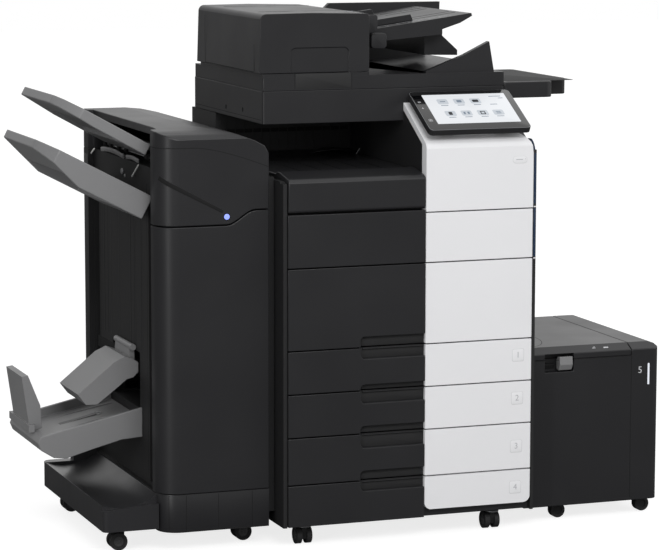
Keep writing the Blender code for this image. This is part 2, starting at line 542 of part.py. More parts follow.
finisher = piece(
    "finisher_frame", SOOT, (-0.14, 0.35, FIN_BASE_Z),
    prism("Z", FIN_DOOR_Z - 0.004, FIN_DECK_Z, core),
    ("add", prism("Z", FIN_BASE_Z, FIN_DOOR_Z - 0.002, base_plan)),
    ("add", box(FIN_X1 - 0.002, -GAP, FIN_Y0 + inner, 0.090, 0.075, 0.8400)),
    ("cut", box(FIN_X0 + 0.045, FIN_X1 - 0.016, 0.0, 0.560, 0.300, 0.700)),
    ("cut", box(-0.35, -0.200, *SADDLE_GATE)),
    ("cut", box(-0.35, FIN_SIDE_X + RAIL_DEPTH, 0.150, 0.185, 0.140, 0.800)),
    ("cut", box(-0.35, FIN_SIDE_X + RAIL_DEPTH, *rear_rail, 0.140, 0.800)))

# The upper cover is a front skin under a deep cap, with an exit for each output tray in its left side.
top_line = [(FIN_X0 - 0.01, FIN_TOP), (-0.170, FIN_TOP), (-0.130, FIN_TOP - 0.004), (-0.090, FIN_TOP - 0.013),
            (-0.050, FIN_TOP - 0.028), (-0.028, FIN_TOP - 0.040), (FIN_X1 - 0.001, FIN_TOP - 0.055),
            (FIN_X1 + 0.01, FIN_TOP - 0.075)]
cap = outer_front + [(FIN_X0, WRAP_Y), (FIN_SIDE_X, WRAP_Y), (FIN_SIDE_X, POST_Y), (POST_X, POST_Y),
                     (POST_X, FIN_Y1), (FIN_X1, FIN_Y1)]
brow = [(0.02, 0.915), (FIN_Y0, 0.932), (0.062, 0.941), (0.085, 0.948), (0.150, FIN_TOP + 0.0005),
        (0.150, 1.05), (0.02, 1.05)]
seam_line = s_curve(-0.118, FIN_DOOR_TOP[0] + SEAM, -0.050, FIN_DOOR_TOP[1] + SEAM)
piece("finisher_upper_cover", CHARCOAL, (-0.14, FIN_Y0, FIN_DECK_Z),
      prism("Z", FIN_DOOR_TOP[0], FIN_DECK_Z + 0.004, skin),
      ("add", prism("Z", FIN_DECK_Z + GAP, FIN_TOP + 0.010, cap)),
      ("cut", box(-0.35, -0.120, 0.150, FIN_Y1 - 0.045, 0.80, FIN_LIP_Z + 0.01)),
      ("cut", box(-0.35, -0.110, WRAP_Y + 0.012, FIN_Y1 - 0.020, FIN_LIP_Z, FIN_TOP - 0.018)),
      ("add", box(FIN_SIDE_X, FIN_SIDE_X + 0.015, WRAP_Y + 0.010, FIN_Y1 - 0.018,
                  FIN_LIP_Z, FIN_LIP_Z + FIN_LIP_H)),
      ("cut", prism("Y", 0.0, 0.8, top_line + [(0.02, FIN_TOP + 0.05), (FIN_X0 - 0.01, FIN_TOP + 0.05)])),
      ("cut", prism("X", -0.4, 0.1, brow)),
      ("cut", prism("Y", 0.0, 0.2, [(-0.20, 0.70)] + seam_line
                    + [(0.02, FIN_DOOR_TOP[1] + SEAM), (0.02, 0.70)])),
      ("cut", box(FIN_X0 - 0.02, -0.115, 0.0, 0.2, 0.70, FIN_DOOR_TOP[0] + SEAM)))

door_back = FIN_Y0 + FIN_SKIN
piece("finisher_door", CHARCOAL, (FIN_X1 - 0.003, FIN_Y0 + 0.003, FIN_DOOR_Z),
      prism("Z", FIN_DOOR_Z, FIN_DOOR_TOP[1], skin),
      ("cut", prism("Y", 0.0, 0.2, [(-0.30, FIN_DOOR_TOP[0])] + step_curve
                    + [(-0.03, FIN_DOOR_TOP[1] + 0.02), (-0.30, FIN_DOOR_TOP[1] + 0.02)])),
      ("cut", prism("Z", 0.0, 1.0, [(FIN_X1 + 0.01, door_back - 0.004), (FIN_X1 + 0.01, door_back + 0.01),
                                    (FIN_X1 - 0.005, door_back + 0.01),
                                    (FIN_X1 - 0.005, door_back + 0.0001)])),
      parent=finisher)

foot_x1 = FIN_X0 + 0.004 - GAP
piece("finisher_foot", CHARCOAL, (-0.34, 0.35, FOOT_Z0),
      prism("Z", FOOT_Z0, FOOT_TOP, rounded(FOOT_X0, foot_x1, 0.080, 0.630, (0.012, 0, 0, 0.020))),
      ("cut", rod("Y", (-0.352, 0.245), 0.142, 0.096, 0.600, 48)),
      ("cut", prism("Y", 0.0, 0.0961, [(-0.45, 0.094), (-0.395, 0.100), (-0.32, 0.108),
                                      (foot_x1 + 0.01, 0.110), (foot_x1 + 0.01, 0.20), (-0.45, 0.20)])),
      ("cut", box(-0.45, -0.33, 0.0, 0.7, 0.111, 0.20)),
      parent=finisher)


def output_tray(name, x, z, length, tilt, y0, y1, height, tip, chamfer):
    """A tray hanging from its right end: flat outline with a cut front corner, dished on top."""
    plan = [(x, y0), (x - length + chamfer[0], y0), (x - length + 0.012, y0 + chamfer[1]),
            (x - length, y0 + chamfer[1] + 0.045), (x - length, y1), (x, y1)]
    rim = 0.007
    dish = [(x + 0.01, y0 + rim), (x - length + chamfer[0], y0 + rim),
            (x - length + 0.020, y0 + chamfer[1] + rim), (x - length + 0.008, y0 + chamfer[1] + 0.048),
            (x - length + 0.008, y1 - rim), (x + 0.01, y1 - rim)]
    under = [(x - 0.060, z - height - 0.01), (x - 0.75 * length, z - height - 0.01),
             (x - 0.75 * length, z - 0.016), (x - 0.060, z - 0.016)]
    taper = [(x - length - 0.01, z - height - 0.01), (x - 0.55 * length, z - height - 0.01),
             (x - 0.60 * length, z - height), (x - length - 0.01, z - tip)]
    return piece(name, ASH, (x, (y0 + y1) / 2, z), prism("Z", z - height, z, plan),
                 ("cut", prism("Y", y0 - 0.01, y1 + 0.01, taper)),
                 ("cut", prism("Z", z - 0.010, z + 0.02, dish)),
                 ("cut", prism("Y", y0 + rim, y1 - rim, under)),
                 turn=(0.0, tilt, 0.0), parent=finisher)


output_tray("upper_output_tray", FIN_SIDE_X - GAP, 0.9120, UPPER_TRAY_LEN, UPPER_TRAY_TILT,
            0.160, 0.505, 0.026, 0.020, (0.055, 0.040))
output_tray("lower_output_tray", FIN_SIDE_X - GAP, 0.7970, LOWER_TRAY_LEN, LOWER_TRAY_TILT,
            0.145, 0.505, LOWER_TRAY_H, 0.017, (0.035, 0.055))

saddle_x1 = FIN_SIDE_X - GAP
saddle_z1 = 0.300
fall = math.tan(SADDLE_SLOPE)


def saddle_top(x):
    """Height of the booklet tray's rim at a place along it."""
    return saddle_z1 - (saddle_x1 - x) * fall


SADDLE_Y = (0.243, 0.515)
piece("saddle_tray", ASH, (saddle_x1, 0.375, saddle_z1),
      prism("Y", *SADDLE_Y, [(saddle_x1, saddle_z1), (-0.500, saddle_top(-0.500)), (-0.507, 0.232),
                             (-0.500, 0.215), (-0.470, 0.196), (-0.440, 0.193), (-0.380, 0.210),
                             (-0.310, 0.228), (saddle_x1, 0.2315)]),
      ("cut", prism("Y", SADDLE_Y[0] + 0.010, SADDLE_Y[1] - 0.010,
                    [(saddle_x1 + 0.01, saddle_z1 + 0.02), (saddle_x1 + 0.01, saddle_z1 - 0.022),
                     (-0.470, saddle_top(-0.470) - 0.020), (-0.485, saddle_top(-0.485) - 0.010),
                     (-0.485, saddle_z1 + 0.02)])),
      parent=finisher)
stop_foot = (-0.506, -0.478)
piece("saddle_stop", ASH, (stop_foot[0], 0.395, saddle_top(stop_foot[0])),
      prism("Y", 0.320, 0.470, [(stop_foot[0], saddle_top(stop_foot[0]) + GAP),
                                (stop_foot[1], saddle_top(stop_foot[1]) + GAP),
                                (-0.481, 0.305), (-0.509, 0.376), (STOP_X0, 0.374)]),
      ("add", box(-0.5135, -0.500, 0.300, 0.490, saddle_top(-0.500) + GAP, 0.264)),
      parent=finisher)
flap_pivot = (-0.2680, 0.4330)
piece("saddle_flap", ASH, (flap_pivot[0], 0.35, flap_pivot[1]),
      prism("Y", 0.275, 0.440, [(-0.404, 0.333), (-0.385, 0.308), (-0.359, 0.3075), (-0.318, 0.338),
                                (-0.288, 0.362), (-0.272, 0.366), (saddle_x1, 0.378), (saddle_x1, 0.400),
                                (-0.274, 0.409), (-0.292, 0.415), (-0.318, 0.403)]),
      ("add", rod("Y", flap_pivot, 0.0072, 0.290, 0.430, 20)),
      ("add", prism("Y", 0.300, 0.420, [(-0.276, 0.400), (-0.2615, 0.395), (-0.2625, 0.432),
                                        (-0.2735, 0.432)])),
      parent=finisher)

# --- Side paper unit -------------------------------------------------------------------------------
LEVER_X = (SIDE_X0 + 0.0867, SIDE_X0 + 0.1197)
LEVER_RECESS = (LEVER_X[0] - 0.036, LEVER_X[1] + 0.005, 0.357, 0.4000)
LEVER_PIVOT = (SIDE_Y0 + 0.010, 0.368)
LID_R = 0.006           # from the lid's lower rear corner to its hinge
side_bevel = [(SIDE_Y0 - 0.01, 0.399), (SIDE_Y0, 0.4000), (SIDE_Y0 + 0.025, SIDE_Z1),
              (SIDE_Y0 + 0.025, 0.45), (SIDE_Y0 - 0.01, 0.45)]
cabinet_plan = [(SIDE_X0, SIDE_Y0)] + arc((SIDE_X1 - 0.015, SIDE_Y0 + 0.015), 0.015, 270, 360, 5)
cabinet_plan += arc((SIDE_X1 - 0.030, SIDE_Y1 - 0.030), 0.030, 0, 90, 6) + [(SIDE_X0, SIDE_Y1)]
cabinet = piece(
    "side_cabinet", CHARCOAL, (SIDE_X0 + 0.1767, 0.26, SIDE_Z0),
    prism("Z", SIDE_Z0, SIDE_Z1, cabinet_plan),
    ("cut", box(SIDE_X0 - 0.02, SIDE_SPLIT_X, 0.0, SIDE_Y1 + 0.02, SIDE_LID_Z, SIDE_Z1 + 0.02)),
    ("cut", prism("X", SIDE_SPLIT_X - 0.01, SIDE_X1 + 0.02, side_bevel)),
    ("cut", box(SIDE_X0 + 0.020, SIDE_SPLIT_X - 0.020, SIDE_Y0 + 0.035, SIDE_Y1 - 0.025, 0.075, 0.42)),
    ("cut", box(LEVER_RECESS[0], LEVER_RECESS[1], 0.0, SIDE_Y0 + 0.024, LEVER_RECESS[2], 0.42)),
    ("cut", prism("Y", 0.0, 0.6, [(SIDE_X1 - 0.018, SIDE_Z1), (SIDE_X1 - 0.007, SIDE_Z1 - 0.004),
                                  (SIDE_X1, SIDE_Z1 - 0.013), (SIDE_X1 + 0.01, SIDE_Z1 - 0.013),
                                  (SIDE_X1 + 0.01, SIDE_Z1 + 0.01), (SIDE_X1 - 0.018, SIDE_Z1 + 0.01)])))
lid_x0, lid_x1 = SIDE_X0 + 0.005, SIDE_SPLIT_X - 0.0012
lid_y1 = SIDE_Y1 - 0.002
lid_z0 = SIDE_LID_Z + GAP
lid_plan = [(lid_x0, SIDE_Y0), (lid_x1, SIDE_Y0), (lid_x1, lid_y1), (SIDE_X0 + 0.020, lid_y1),
            (lid_x0, SIDE_Y1 - 0.020)]
lid_heel = [(lid_y1 - LID_R, lid_z0), (lid_y1, lid_z0 + LID_R), (lid_y1 + 0.01, lid_z0 + LID_R),
            (lid_y1 + 0.01, lid_z0 - 0.01), (lid_y1 - LID_R, lid_z0 - 0.01)]
piece("side_lid", CHARCOAL, (SIDE_X0 + 0.1367, lid_y1 - LID_R, lid_z0 + LID_R),
      prism("Z", lid_z0, SIDE_Z1, lid_plan),
      ("cut", prism("X", SIDE_X0 - 0.02, SIDE_X1, side_bevel)),
      ("cut", box(SIDE_X0 + 0.012, SIDE_SPLIT_X - 0.012, SIDE_Y0 + 0.035, SIDE_Y1 - 0.030,
                  0.37, SIDE_Z1 - 0.005)),
      ("cut", box(LEVER_RECESS[0], LEVER_RECESS[1], 0.0, SIDE_Y0 + 0.024, 0.37, LEVER_RECESS[3])),
      ("cut", prism("X", SIDE_X0 - 0.02, SIDE_X1, lid_heel)),
      parent=cabinet)
lever_y = LEVER_PIVOT[0]
lever_side = [(lever_y - 0.008, 0.3605)] + arc(LEVER_PIVOT, 0.0075, 270, 360, 4)
lever_side += [(lever_y + 0.0075, 0.380), (lever_y, 0.3920), (lever_y - 0.014, 0.3930),
               (lever_y - 0.016, 0.374)]
piece("side_lever", ASH, ((LEVER_X[0] + LEVER_X[1]) / 2, *LEVER_PIVOT),
      prism("X", *LEVER_X, lever_side),
      ("add", rod("X", LEVER_PIVOT, 0.004, LEVER_X[1] - 0.003, LEVER_RECESS[1] - GAP, 16)),
      parent=cabinet)

# --- Casters ---------------------------------------------------------------------------------------


def quarter(shape, x, y):
    """Turn a shape a quarter about the upright through a point."""
    bmesh.ops.rotate(shape, verts=shape.verts, cent=(x, y, 0.0), matrix=Matrix.Rotation(math.pi / 2, 3, "Z"))
    return shape


def caster(prefix, x, y, top, along_x, parent):
    """A swivel caster under a base: fork with its plate and web, and a pair of wheels."""
    turn_shape = (lambda shape: quarter(shape, x, y)) if along_x else (lambda shape: shape)
    axle_y = y + TRAIL
    plate = rod("Z", (x, y), 0.016, top - GAP - 0.0045, top - GAP, 20)
    steps = [(action, turn_shape(shape)) for action, shape in caster_web(x, axle_y, top - GAP - 0.003)]
    fork = piece(f"{prefix}_fork", SOOT, (x, y, top), plate, *steps, parent=parent)
    axle = (x - TRAIL, y) if along_x else (x, axle_y)
    wheels = wheel_pair(f"{prefix}_wheel", x, axle_y, [-1, 1], turn_shape, (*axle, WHEEL_R))
    wheels.location -= fork.location + (parent.location if parent else Vector())
    wheels.parent = fork
    return fork


def wheel_pair(name, x, axle_y, sides, turn_shape, origin):
    """Two tyres on one axle, each with a recessed hub."""
    reach = WEB_HALF + 0.0005 + WHEEL_W
    hub_r = WHEEL_R - 0.008
    shape = turn_shape(rod("X", (axle_y, WHEEL_R), AXLE_R, x - reach + 0.002, x + reach - 0.002, 16))
    steps = []
    for sign in sides:
        near, far = sorted((sign * (WEB_HALF + 0.0005), sign * reach))
        steps.append(("add", turn_shape(rod("X", (axle_y, WHEEL_R), WHEEL_R, x + near, x + far, 28))))
        hub = sorted((sign * (reach - 0.002), sign * (reach + 0.01)))
        steps.append(("cut", turn_shape(rod("X", (axle_y, WHEEL_R), hub_r, x + hub[0], x + hub[1], 20))))
    return piece(name, RUBBER, origin, shape, *steps, smooth=35)


for name, x in zip(("left", "right"), WHEEL_XS):
    caster(f"main_{name}", x, 0.050 - TRAIL, BASE_Z, False, None)
    wheel_pair(f"main_rear_{name}_wheel", x, REAR_WHEEL_Y, [-1, 1], lambda shape: shape,
               (x, REAR_WHEEL_Y, WHEEL_R))
for name, x, y, under in (("front_left", -0.354, 0.136, FOOT_Z0),
                          ("rear_left", -0.352, 0.555, FOOT_Z0),
                          ("front_right", -0.058, 0.138, FIN_BASE_Z),
                          ("rear_right", -0.058, 0.600, FIN_BASE_Z)):
    caster(f"finisher_{name}", x + TRAIL, y, under, True, finisher)


def side_wheels(name, x, y_front, y_rear):
    """A long axle under the side unit with a wheel at each end."""
    axle = (x, SIDE_WHEEL_R)
    steps = [("add", rod("Y", axle, SIDE_WHEEL_R, y - 0.010, y + 0.010, 28)) for y in (y_front, y_rear)]
    steps.append(("cut", rod("Y", axle, 0.010, y_front - 0.02, y_front - 0.008, 20)))
    piece(name, RUBBER, (x, y_front, SIDE_WHEEL_R),
          rod("Y", axle, 0.004, y_front - 0.006, y_rear + 0.006, 16), *steps, smooth=35, parent=cabinet)


for name, x in (("left", SIDE_X0 + 0.1042), ("right", SIDE_X1 - 0.023)):
    side_wheels(f"side_{name}_wheels", x, 0.099, 0.440)
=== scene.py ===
# %% [markdown]
# # A floor-standing photocopier
# The solids that move and carry are already made, so this lesson gives them their skin: rounded plastic
# edges, finishes worked out from real materials, and the small parts that make a machine believable.

# %% Load the frame
import json
import math
from types import SimpleNamespace

import bmesh
import bpy
import numpy as np
from mathutils import Matrix, Vector


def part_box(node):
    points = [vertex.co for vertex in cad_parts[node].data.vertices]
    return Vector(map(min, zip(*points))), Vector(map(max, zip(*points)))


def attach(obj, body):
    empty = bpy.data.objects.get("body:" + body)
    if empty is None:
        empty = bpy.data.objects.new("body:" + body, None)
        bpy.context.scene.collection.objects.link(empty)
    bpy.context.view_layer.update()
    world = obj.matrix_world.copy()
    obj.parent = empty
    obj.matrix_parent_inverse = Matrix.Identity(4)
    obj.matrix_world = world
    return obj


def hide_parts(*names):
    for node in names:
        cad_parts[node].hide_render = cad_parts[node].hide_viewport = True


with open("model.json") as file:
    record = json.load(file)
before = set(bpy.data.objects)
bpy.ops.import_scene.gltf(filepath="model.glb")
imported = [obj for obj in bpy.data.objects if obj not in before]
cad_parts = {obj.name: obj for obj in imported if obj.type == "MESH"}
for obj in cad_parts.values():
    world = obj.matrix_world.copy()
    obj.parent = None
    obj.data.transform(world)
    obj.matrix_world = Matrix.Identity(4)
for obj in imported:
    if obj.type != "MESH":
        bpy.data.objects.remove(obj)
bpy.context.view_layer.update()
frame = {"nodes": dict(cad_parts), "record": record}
BODY_OF = {node: body for body, nodes in frame["record"]["behaviour"]["bodies"].items()
           for node in nodes}
SLOT_OF = {part["node"]: part["material_slot"] for part in frame["record"]["subparts"]}
MM = 0.001

# %% [markdown]
# ## Places
# A surveyor starts from one fixed corner. Here it is the main unit's front left corner at the floor,
# read from the loaded solids with `span`, and the rest is measured from it in mm. Numbers in the frame's
# own metres would do as well, but the small parts would stay behind if the solids moved.

# %% Read places from the frame
def span(node):
    """A node's box as x0, x1, y0, y1, z0 and z1, in metres."""
    low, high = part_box(node)
    return SimpleNamespace(x0=low.x, x1=high.x, y0=low.y, y1=high.y, z0=low.z, z1=high.z)


unit = span("main_frame")
FRONT_Y = span("tray_1").y0


def spot(x, y, z):
    """Points x right of, y behind and z above the main unit's front left corner at the floor, in mm."""
    return np.stack(np.broadcast_arrays(unit.x0 + np.multiply(x, MM), FRONT_Y + np.multiply(y, MM),
                                        np.multiply(z, MM)), axis=-1)


LEFT, RIGHT = ((0, -1, 0), (0, 0, 1)), ((0, 1, 0), (0, 0, 1))
FRONT, BACK = ((1, 0, 0), (0, 0, 1)), ((-1, 0, 0), (0, 0, 1))
TOP, UNDER = ((1, 0, 0), (0, 1, 0)), ((1, 0, 0), (0, -1, 0))
print(f"main unit {1000 * (unit.x1 - unit.x0):.0f} mm wide, front at y {FRONT_Y:.4f} m")

# %% [markdown]
# ## Camera
# A long lens a few metres away, turned about 20 degrees to the left side and looking slightly down,
# keeps the uprights nearly parallel, as in a catalogue picture.

# %% Aim the camera
camera = bpy.data.objects.new("camera", bpy.data.cameras.new("camera"))
bpy.context.scene.collection.objects.link(camera)
camera.data.lens, camera.data.sensor_width = 156.25, 36.0
camera.data.clip_end = 100.0
turn, tip, lean = (math.radians(a) for a in (20.0228, 8.0884, 0.0760))
camera.location = (-2.28547, -6.30530, 1.52465)
camera.rotation_mode = "XYZ"
facing = Matrix.Rotation(-turn, 3, "Z") @ Matrix.Rotation(math.pi / 2 - tip, 3, "X")
camera.rotation_euler = (facing @ Matrix.Rotation(lean, 3, "Z")).to_euler()
bpy.context.scene.camera = camera
bpy.context.scene.view_settings.view_transform = "Standard"
print("camera", [round(c, 3) for c in camera.location])

# %% [markdown]
# ## Adding shader nodes
# Every finish is a small graph. It could be drawn by hand in the shader editor, but a script can be
# read and run again. One function adds a node, sets its properties and inputs, and links the outputs
# that it is given, so a material reads like a recipe; a second one does the same for sums.

# %% One function adds a node
def linear(code):
    """sRGB hex to linear light: c/12.92 below 0.04045, else ((c + 0.055)/1.055) to the power 2.4."""
    values = np.array([int(code[i:i + 2], 16) for i in (1, 3, 5)]) / 255
    values = np.where(values <= 0.04045, values / 12.92, ((values + 0.055) / 1.055) ** 2.4)
    return (*values.tolist(), 1.0)


def add(tree, kind, inputs=None, **settings):
    """A node of a kind, with its settings, and inputs given as values or as outputs to link."""
    made = tree.nodes.new("ShaderNode" + kind)
    for name, value in settings.items():
        setattr(made, name, value)
    for name, value in (inputs or {}).items():
        if isinstance(value, bpy.types.NodeSocket):
            tree.links.new(value, made.inputs[name])
        else:
            made.inputs[name].default_value = value
    return made


def reckon(tree, operation, *values):
    """The result of a Math node that is fed numbers or other nodes' outputs."""
    return add(tree, "Math", dict(enumerate(values)), operation=operation).outputs[0]


def start(name):
    """An empty material with its tree, its shader and its Object coordinates."""
    made = bpy.data.materials.new(name)
    made.use_nodes = True
    tree = made.node_tree
    place = tree.nodes.new("ShaderNodeTexCoord").outputs["Object"]
    return made, tree, tree.nodes["Principled BSDF"], place


print("white is", linear("#ffffff"))

# %% [markdown]
# ## Moulded plastic
# Nearly every surface here is injection-moulded ABS. Its steel mould is spark-eroded, which leaves a
# fine dull grain that spreads each reflection, and over a wide panel the melt's flow varies the gloss a
# little. The real grain is about 0.1 mm; it is drawn 0.9 mm wide, because finer would not show. An image
# of grain would need unwrapped covers, so noise on the part's own coordinates does the work.

# %% Moulded plastic
def moulded(name, code, roughness, grain=0.9, depth=0.00003, shade=0.05):
    """ABS from a textured mould: noise bump at the grain's size, and slow changes of tone and gloss."""
    made, tree, shader, place = start(name)
    fine = add(tree, "TexNoise", {"Vector": place, "Scale": 1 / (grain * MM), "Detail": 2.0})
    flow = add(tree, "TexNoise", {"Vector": place, "Scale": 7.0, "Detail": 3.0})
    tone = linear(code)
    darker = tuple(c * (1 - shade) for c in tone[:3]) + (1.0,)
    lighter = tuple(min(1.0, c * (1 + shade)) for c in tone[:3]) + (1.0,)
    mix = add(tree, "Mix", {"Factor": flow.outputs["Fac"], "A": darker, "B": lighter}, data_type="RGBA")
    # a Mix node has several sockets of each name, so its colour pair is set by index
    mix.inputs[6].default_value, mix.inputs[7].default_value = darker, lighter
    gloss = add(tree, "MapRange", {"Value": flow.outputs["Fac"], "From Min": 0.3, "From Max": 0.7,
                                   "To Min": roughness - 0.03, "To Max": roughness + 0.03})
    bump = add(tree, "Bump", {"Height": fine.outputs["Fac"], "Distance": depth, "Strength": 0.6})
    tree.links.new(mix.outputs[2], shader.inputs["Base Color"])
    tree.links.new(gloss.outputs["Result"], shader.inputs["Roughness"])
    tree.links.new(bump.outputs["Normal"], shader.inputs["Normal"])
    shader.inputs["IOR"].default_value = 1.53
    return made


charcoal = moulded("ABS charcoal, spark-eroded mould", "#232325", 0.41)
soot = moulded("ABS soot black, unpolished mould", "#1e1e1f", 0.56, grain=1.2)
white = moulded("ABS signal white, satin mould", "#ececee", 0.38, grain=0.7, depth=0.00001, shade=0.01)
grey = moulded("ABS mid grey, spark-eroded mould", "#7f7f80", 0.44)
pale = moulded("ABS pale grey, satin mould", "#a9a9ab", 0.45, shade=0.02)
# near-black strips and plates: dark joints along seams, and painted shade in slots, sockets, grooves and
# recesses
seam_dark_and_slot_shade = moulded("dark seams, painted shade in slots", "#0b0b0c", 0.85, grain=1.2)
print("plastics:", charcoal.name, "/", white.name, "/", grey.name)

# %% [markdown]
# ## Other finishes
# Tyres are thermoplastic rubber, duller than the covers. The panel's face is hard-coated clear plastic
# over black ink, which mirrors softly. Screws and pins are zinc-plated steel. Lamps and the display are
# shaders that give light of their own, kept near the level of the room so that they don't glare. They
# differ in colour, gloss and grain only, so one function makes them all.

# %% Rubber, steel, glass and lamps
def plain(name, code, roughness, metallic=0.0, grain=0.6, depth=0.00002, **sockets):
    """A finish of one colour whose surface has a fine uneven grain."""
    made, tree, shader, place = start(name)
    fine = add(tree, "TexNoise", {"Vector": place, "Scale": 1 / (grain * MM), "Detail": 2.0})
    bump = add(tree, "Bump", {"Height": fine.outputs["Fac"], "Distance": depth, "Strength": 0.5})
    tree.links.new(bump.outputs["Normal"], shader.inputs["Normal"])
    shader.inputs["Base Color"].default_value = linear(code)
    shader.inputs["Roughness"].default_value = roughness
    shader.inputs["Metallic"].default_value = metallic
    for socket, value in sockets.items():
        shader.inputs[socket.replace("_", " ")].default_value = value
    return made


def lamp(name, code, strength, body="#202024"):
    """A light guide: it shines in one colour, evenly."""
    return plain(name, body, 0.3, Emission_Color=linear(code), Emission_Strength=strength)


rubber = plain("TPR rubber, moulded tyre", "#222223", 0.72, grain=1.0, depth=0.00008)
nylon = plain("nylon, moulded hub", "#3c3c3d", 0.40)
zinc = plain("steel, zinc plated", "#b9babc", 0.32, metallic=1.0)
gloss = plain("polycarbonate, hard-coated black", "#08080a", 0.09, depth=0.000002, Coat_Weight=0.6,
              Coat_Roughness=0.04)
rim = plain("aluminium, bead-blasted trim", "#8d8e91", 0.36, metallic=1.0)
float_glass = plain("soda-lime float glass", "#dfe8e6", 0.03, depth=0.0, Transmission_Weight=1.0,
                    IOR=1.52)
ink = plain("ink, screen-printed pale grey", "#c9cacd", 0.5)
bristle = plain("nylon bristle, white", "#e9e9e6", 0.6, grain=0.5, depth=0.0003)
foam = plain("EPDM foam roller skin", "#131314", 0.85, grain=1.0, depth=0.0002)
line_grey = plain("ink, printed outline grey", "#d6d6d8", 0.5)
mark_grey = plain("ink, printed symbol grey", "#b9b9bd", 0.5)
smoke = plain("polycarbonate, smoke blue light guide", "#27364c", 0.12, Coat_Weight=0.5)
lit_white = lamp("display, lit white", "#f4f7fb", 0.86, "#0a0a0b")
lit_tile = lamp("display, pale tiles", "#dde4ec", 0.74, "#0a0a0b")
lit_mark = lamp("display, blue-grey symbols", "#9fb0c4", 0.5, "#0a0a0b")
lit_blue = lamp("light-emitting diode, blue", "#8a9bff", 1.5)
led_white = lamp("light-emitting diode, white", "#eef2fa", 0.95)
dark_mark = plain("display, dark symbols", "#24272c", 0.5)
toner_look = {}
for tone, code in (("yellow", "#d9b21c"), ("magenta", "#b5286a"), ("cyan", "#1f7fb8"),
                   ("black", "#1c1c1d")):
    toner_look[tone] = moulded(f"HIPS toner bottle {tone}", code, 0.42)
LOOK = {"charcoal_plastic": charcoal, "soot_plastic": soot, "white_plastic": white,
        "grey_plastic": grey, "wheel_rubber": rubber, "platen": float_glass,
        "toner_yellow": toner_look["yellow"], "toner_magenta": toner_look["magenta"],
        "toner_cyan": toner_look["cyan"], "toner_black": toner_look["black"]}
print(len(bpy.data.materials), "materials")

# %% [markdown]
# ## Painted steel cabinet
# The cabinet's back is folded steel sheet with a black powder coat. Its seams are 1.4 mm wide: a brick
# pattern on x and z draws them, 465 mm and 240 mm apart. Two fields of louvres, one slot each 10 mm of
# height, are kept to the rear face by comparing y with the sheet's own place. Seams and slots could be
# thin pieces laid on the sheet, but nothing may stand behind the machine. Seams and slots could be
# thin pieces laid on the sheet; here the finish carries them, the slots painted dark as their shade.

# %% Powder-coated sheet with seams and louvres
# places and sizes on the sheet, in metres; each band of louvres is its middle and half its height
SEAM_WIDE, SHEET_WIDE, SHEET_HIGH, FIRST_SEAM = 0.0014, 0.465, 0.24, -0.145
LOUVRE_X, LOUVRE_APART, LOUVRE_HALF = 0.088, 0.12, 0.07
UPPER_BAND, LOWER_BAND = (0.60, 0.075), (0.17, 0.035)
SLOTS_PER_METRE, SLOT_SHARE = 100.0, 0.4


def cabinet_sheet(name, code, seam, rear_y):
    """Steel sheet: seams where x and z meet the brick's mortar, slots where a sawtooth in z is low."""
    # the seams are dark joints; the louvre slots are painted dark as the shade inside them
    made, tree, shader, place = start(name)
    split = add(tree, "SeparateXYZ", {"Vector": place})
    across = reckon(tree, "ADD", split.outputs["X"], -FIRST_SEAM)
    flat = add(tree, "CombineXYZ", {"X": across, "Y": split.outputs["Z"]})
    brick = add(tree, "TexBrick",
                {"Vector": flat.outputs[0], "Scale": 1.0, "Mortar Size": SEAM_WIDE / 2,
                 "Mortar Smooth": 0.0, "Brick Width": SHEET_WIDE, "Row Height": SHEET_HIGH}, offset=0.0)
    centre = reckon(tree, "ADD", split.outputs["X"], -LOUVRE_X)
    beside = reckon(tree, "ABSOLUTE", centre)
    field = reckon(tree, "COMPARE", beside, LOUVRE_APART, LOUVRE_HALF)
    high = reckon(tree, "COMPARE", split.outputs["Z"], *UPPER_BAND)
    low = reckon(tree, "COMPARE", split.outputs["Z"], *LOWER_BAND)
    band = reckon(tree, "MAXIMUM", high, low)
    steps = reckon(tree, "MULTIPLY", split.outputs["Z"], SLOTS_PER_METRE)
    saw = reckon(tree, "FRACT", steps)
    slot = reckon(tree, "LESS_THAN", saw, SLOT_SHARE)
    rear = reckon(tree, "GREATER_THAN", split.outputs["Y"], rear_y)
    seams_and_slot_shade_mask = reckon(tree, "MULTIPLY", field, band)
    seams_and_slot_shade_mask = reckon(tree, "MULTIPLY", seams_and_slot_shade_mask, slot)
    seams_and_slot_shade_mask = reckon(tree, "MAXIMUM", seams_and_slot_shade_mask, brick.outputs["Fac"])
    seams_and_slot_shade_mask = reckon(tree, "MULTIPLY", seams_and_slot_shade_mask, rear)
    tone = add(tree, "Mix", {"Factor": seams_and_slot_shade_mask}, data_type="RGBA")
    tone.inputs[6].default_value, tone.inputs[7].default_value = linear(code), linear(seam)
    tree.links.new(tone.outputs[2], shader.inputs["Base Color"])
    fine = add(tree, "TexNoise", {"Vector": place, "Scale": 1 / (1.2 * MM), "Detail": 2.0})
    height = reckon(tree, "SUBTRACT", fine.outputs["Fac"], seams_and_slot_shade_mask)
    bump = add(tree, "Bump", {"Height": height, "Distance": 0.00006, "Strength": 0.6})
    tree.links.new(bump.outputs["Normal"], shader.inputs["Normal"])
    shader.inputs["Roughness"].default_value = 0.52
    return made


# its seam colour is the seams' dark and the louvre slots' painted shade
cabinet_steel = cabinet_sheet("steel sheet, black powder coat", "#242425", "#050506", unit.y1 - 0.0004)
foot_black = moulded("ABS charcoal, semi-gloss mould", "#2a2a2c", 0.30)
print("rear sheet at y", round(unit.y1, 4))
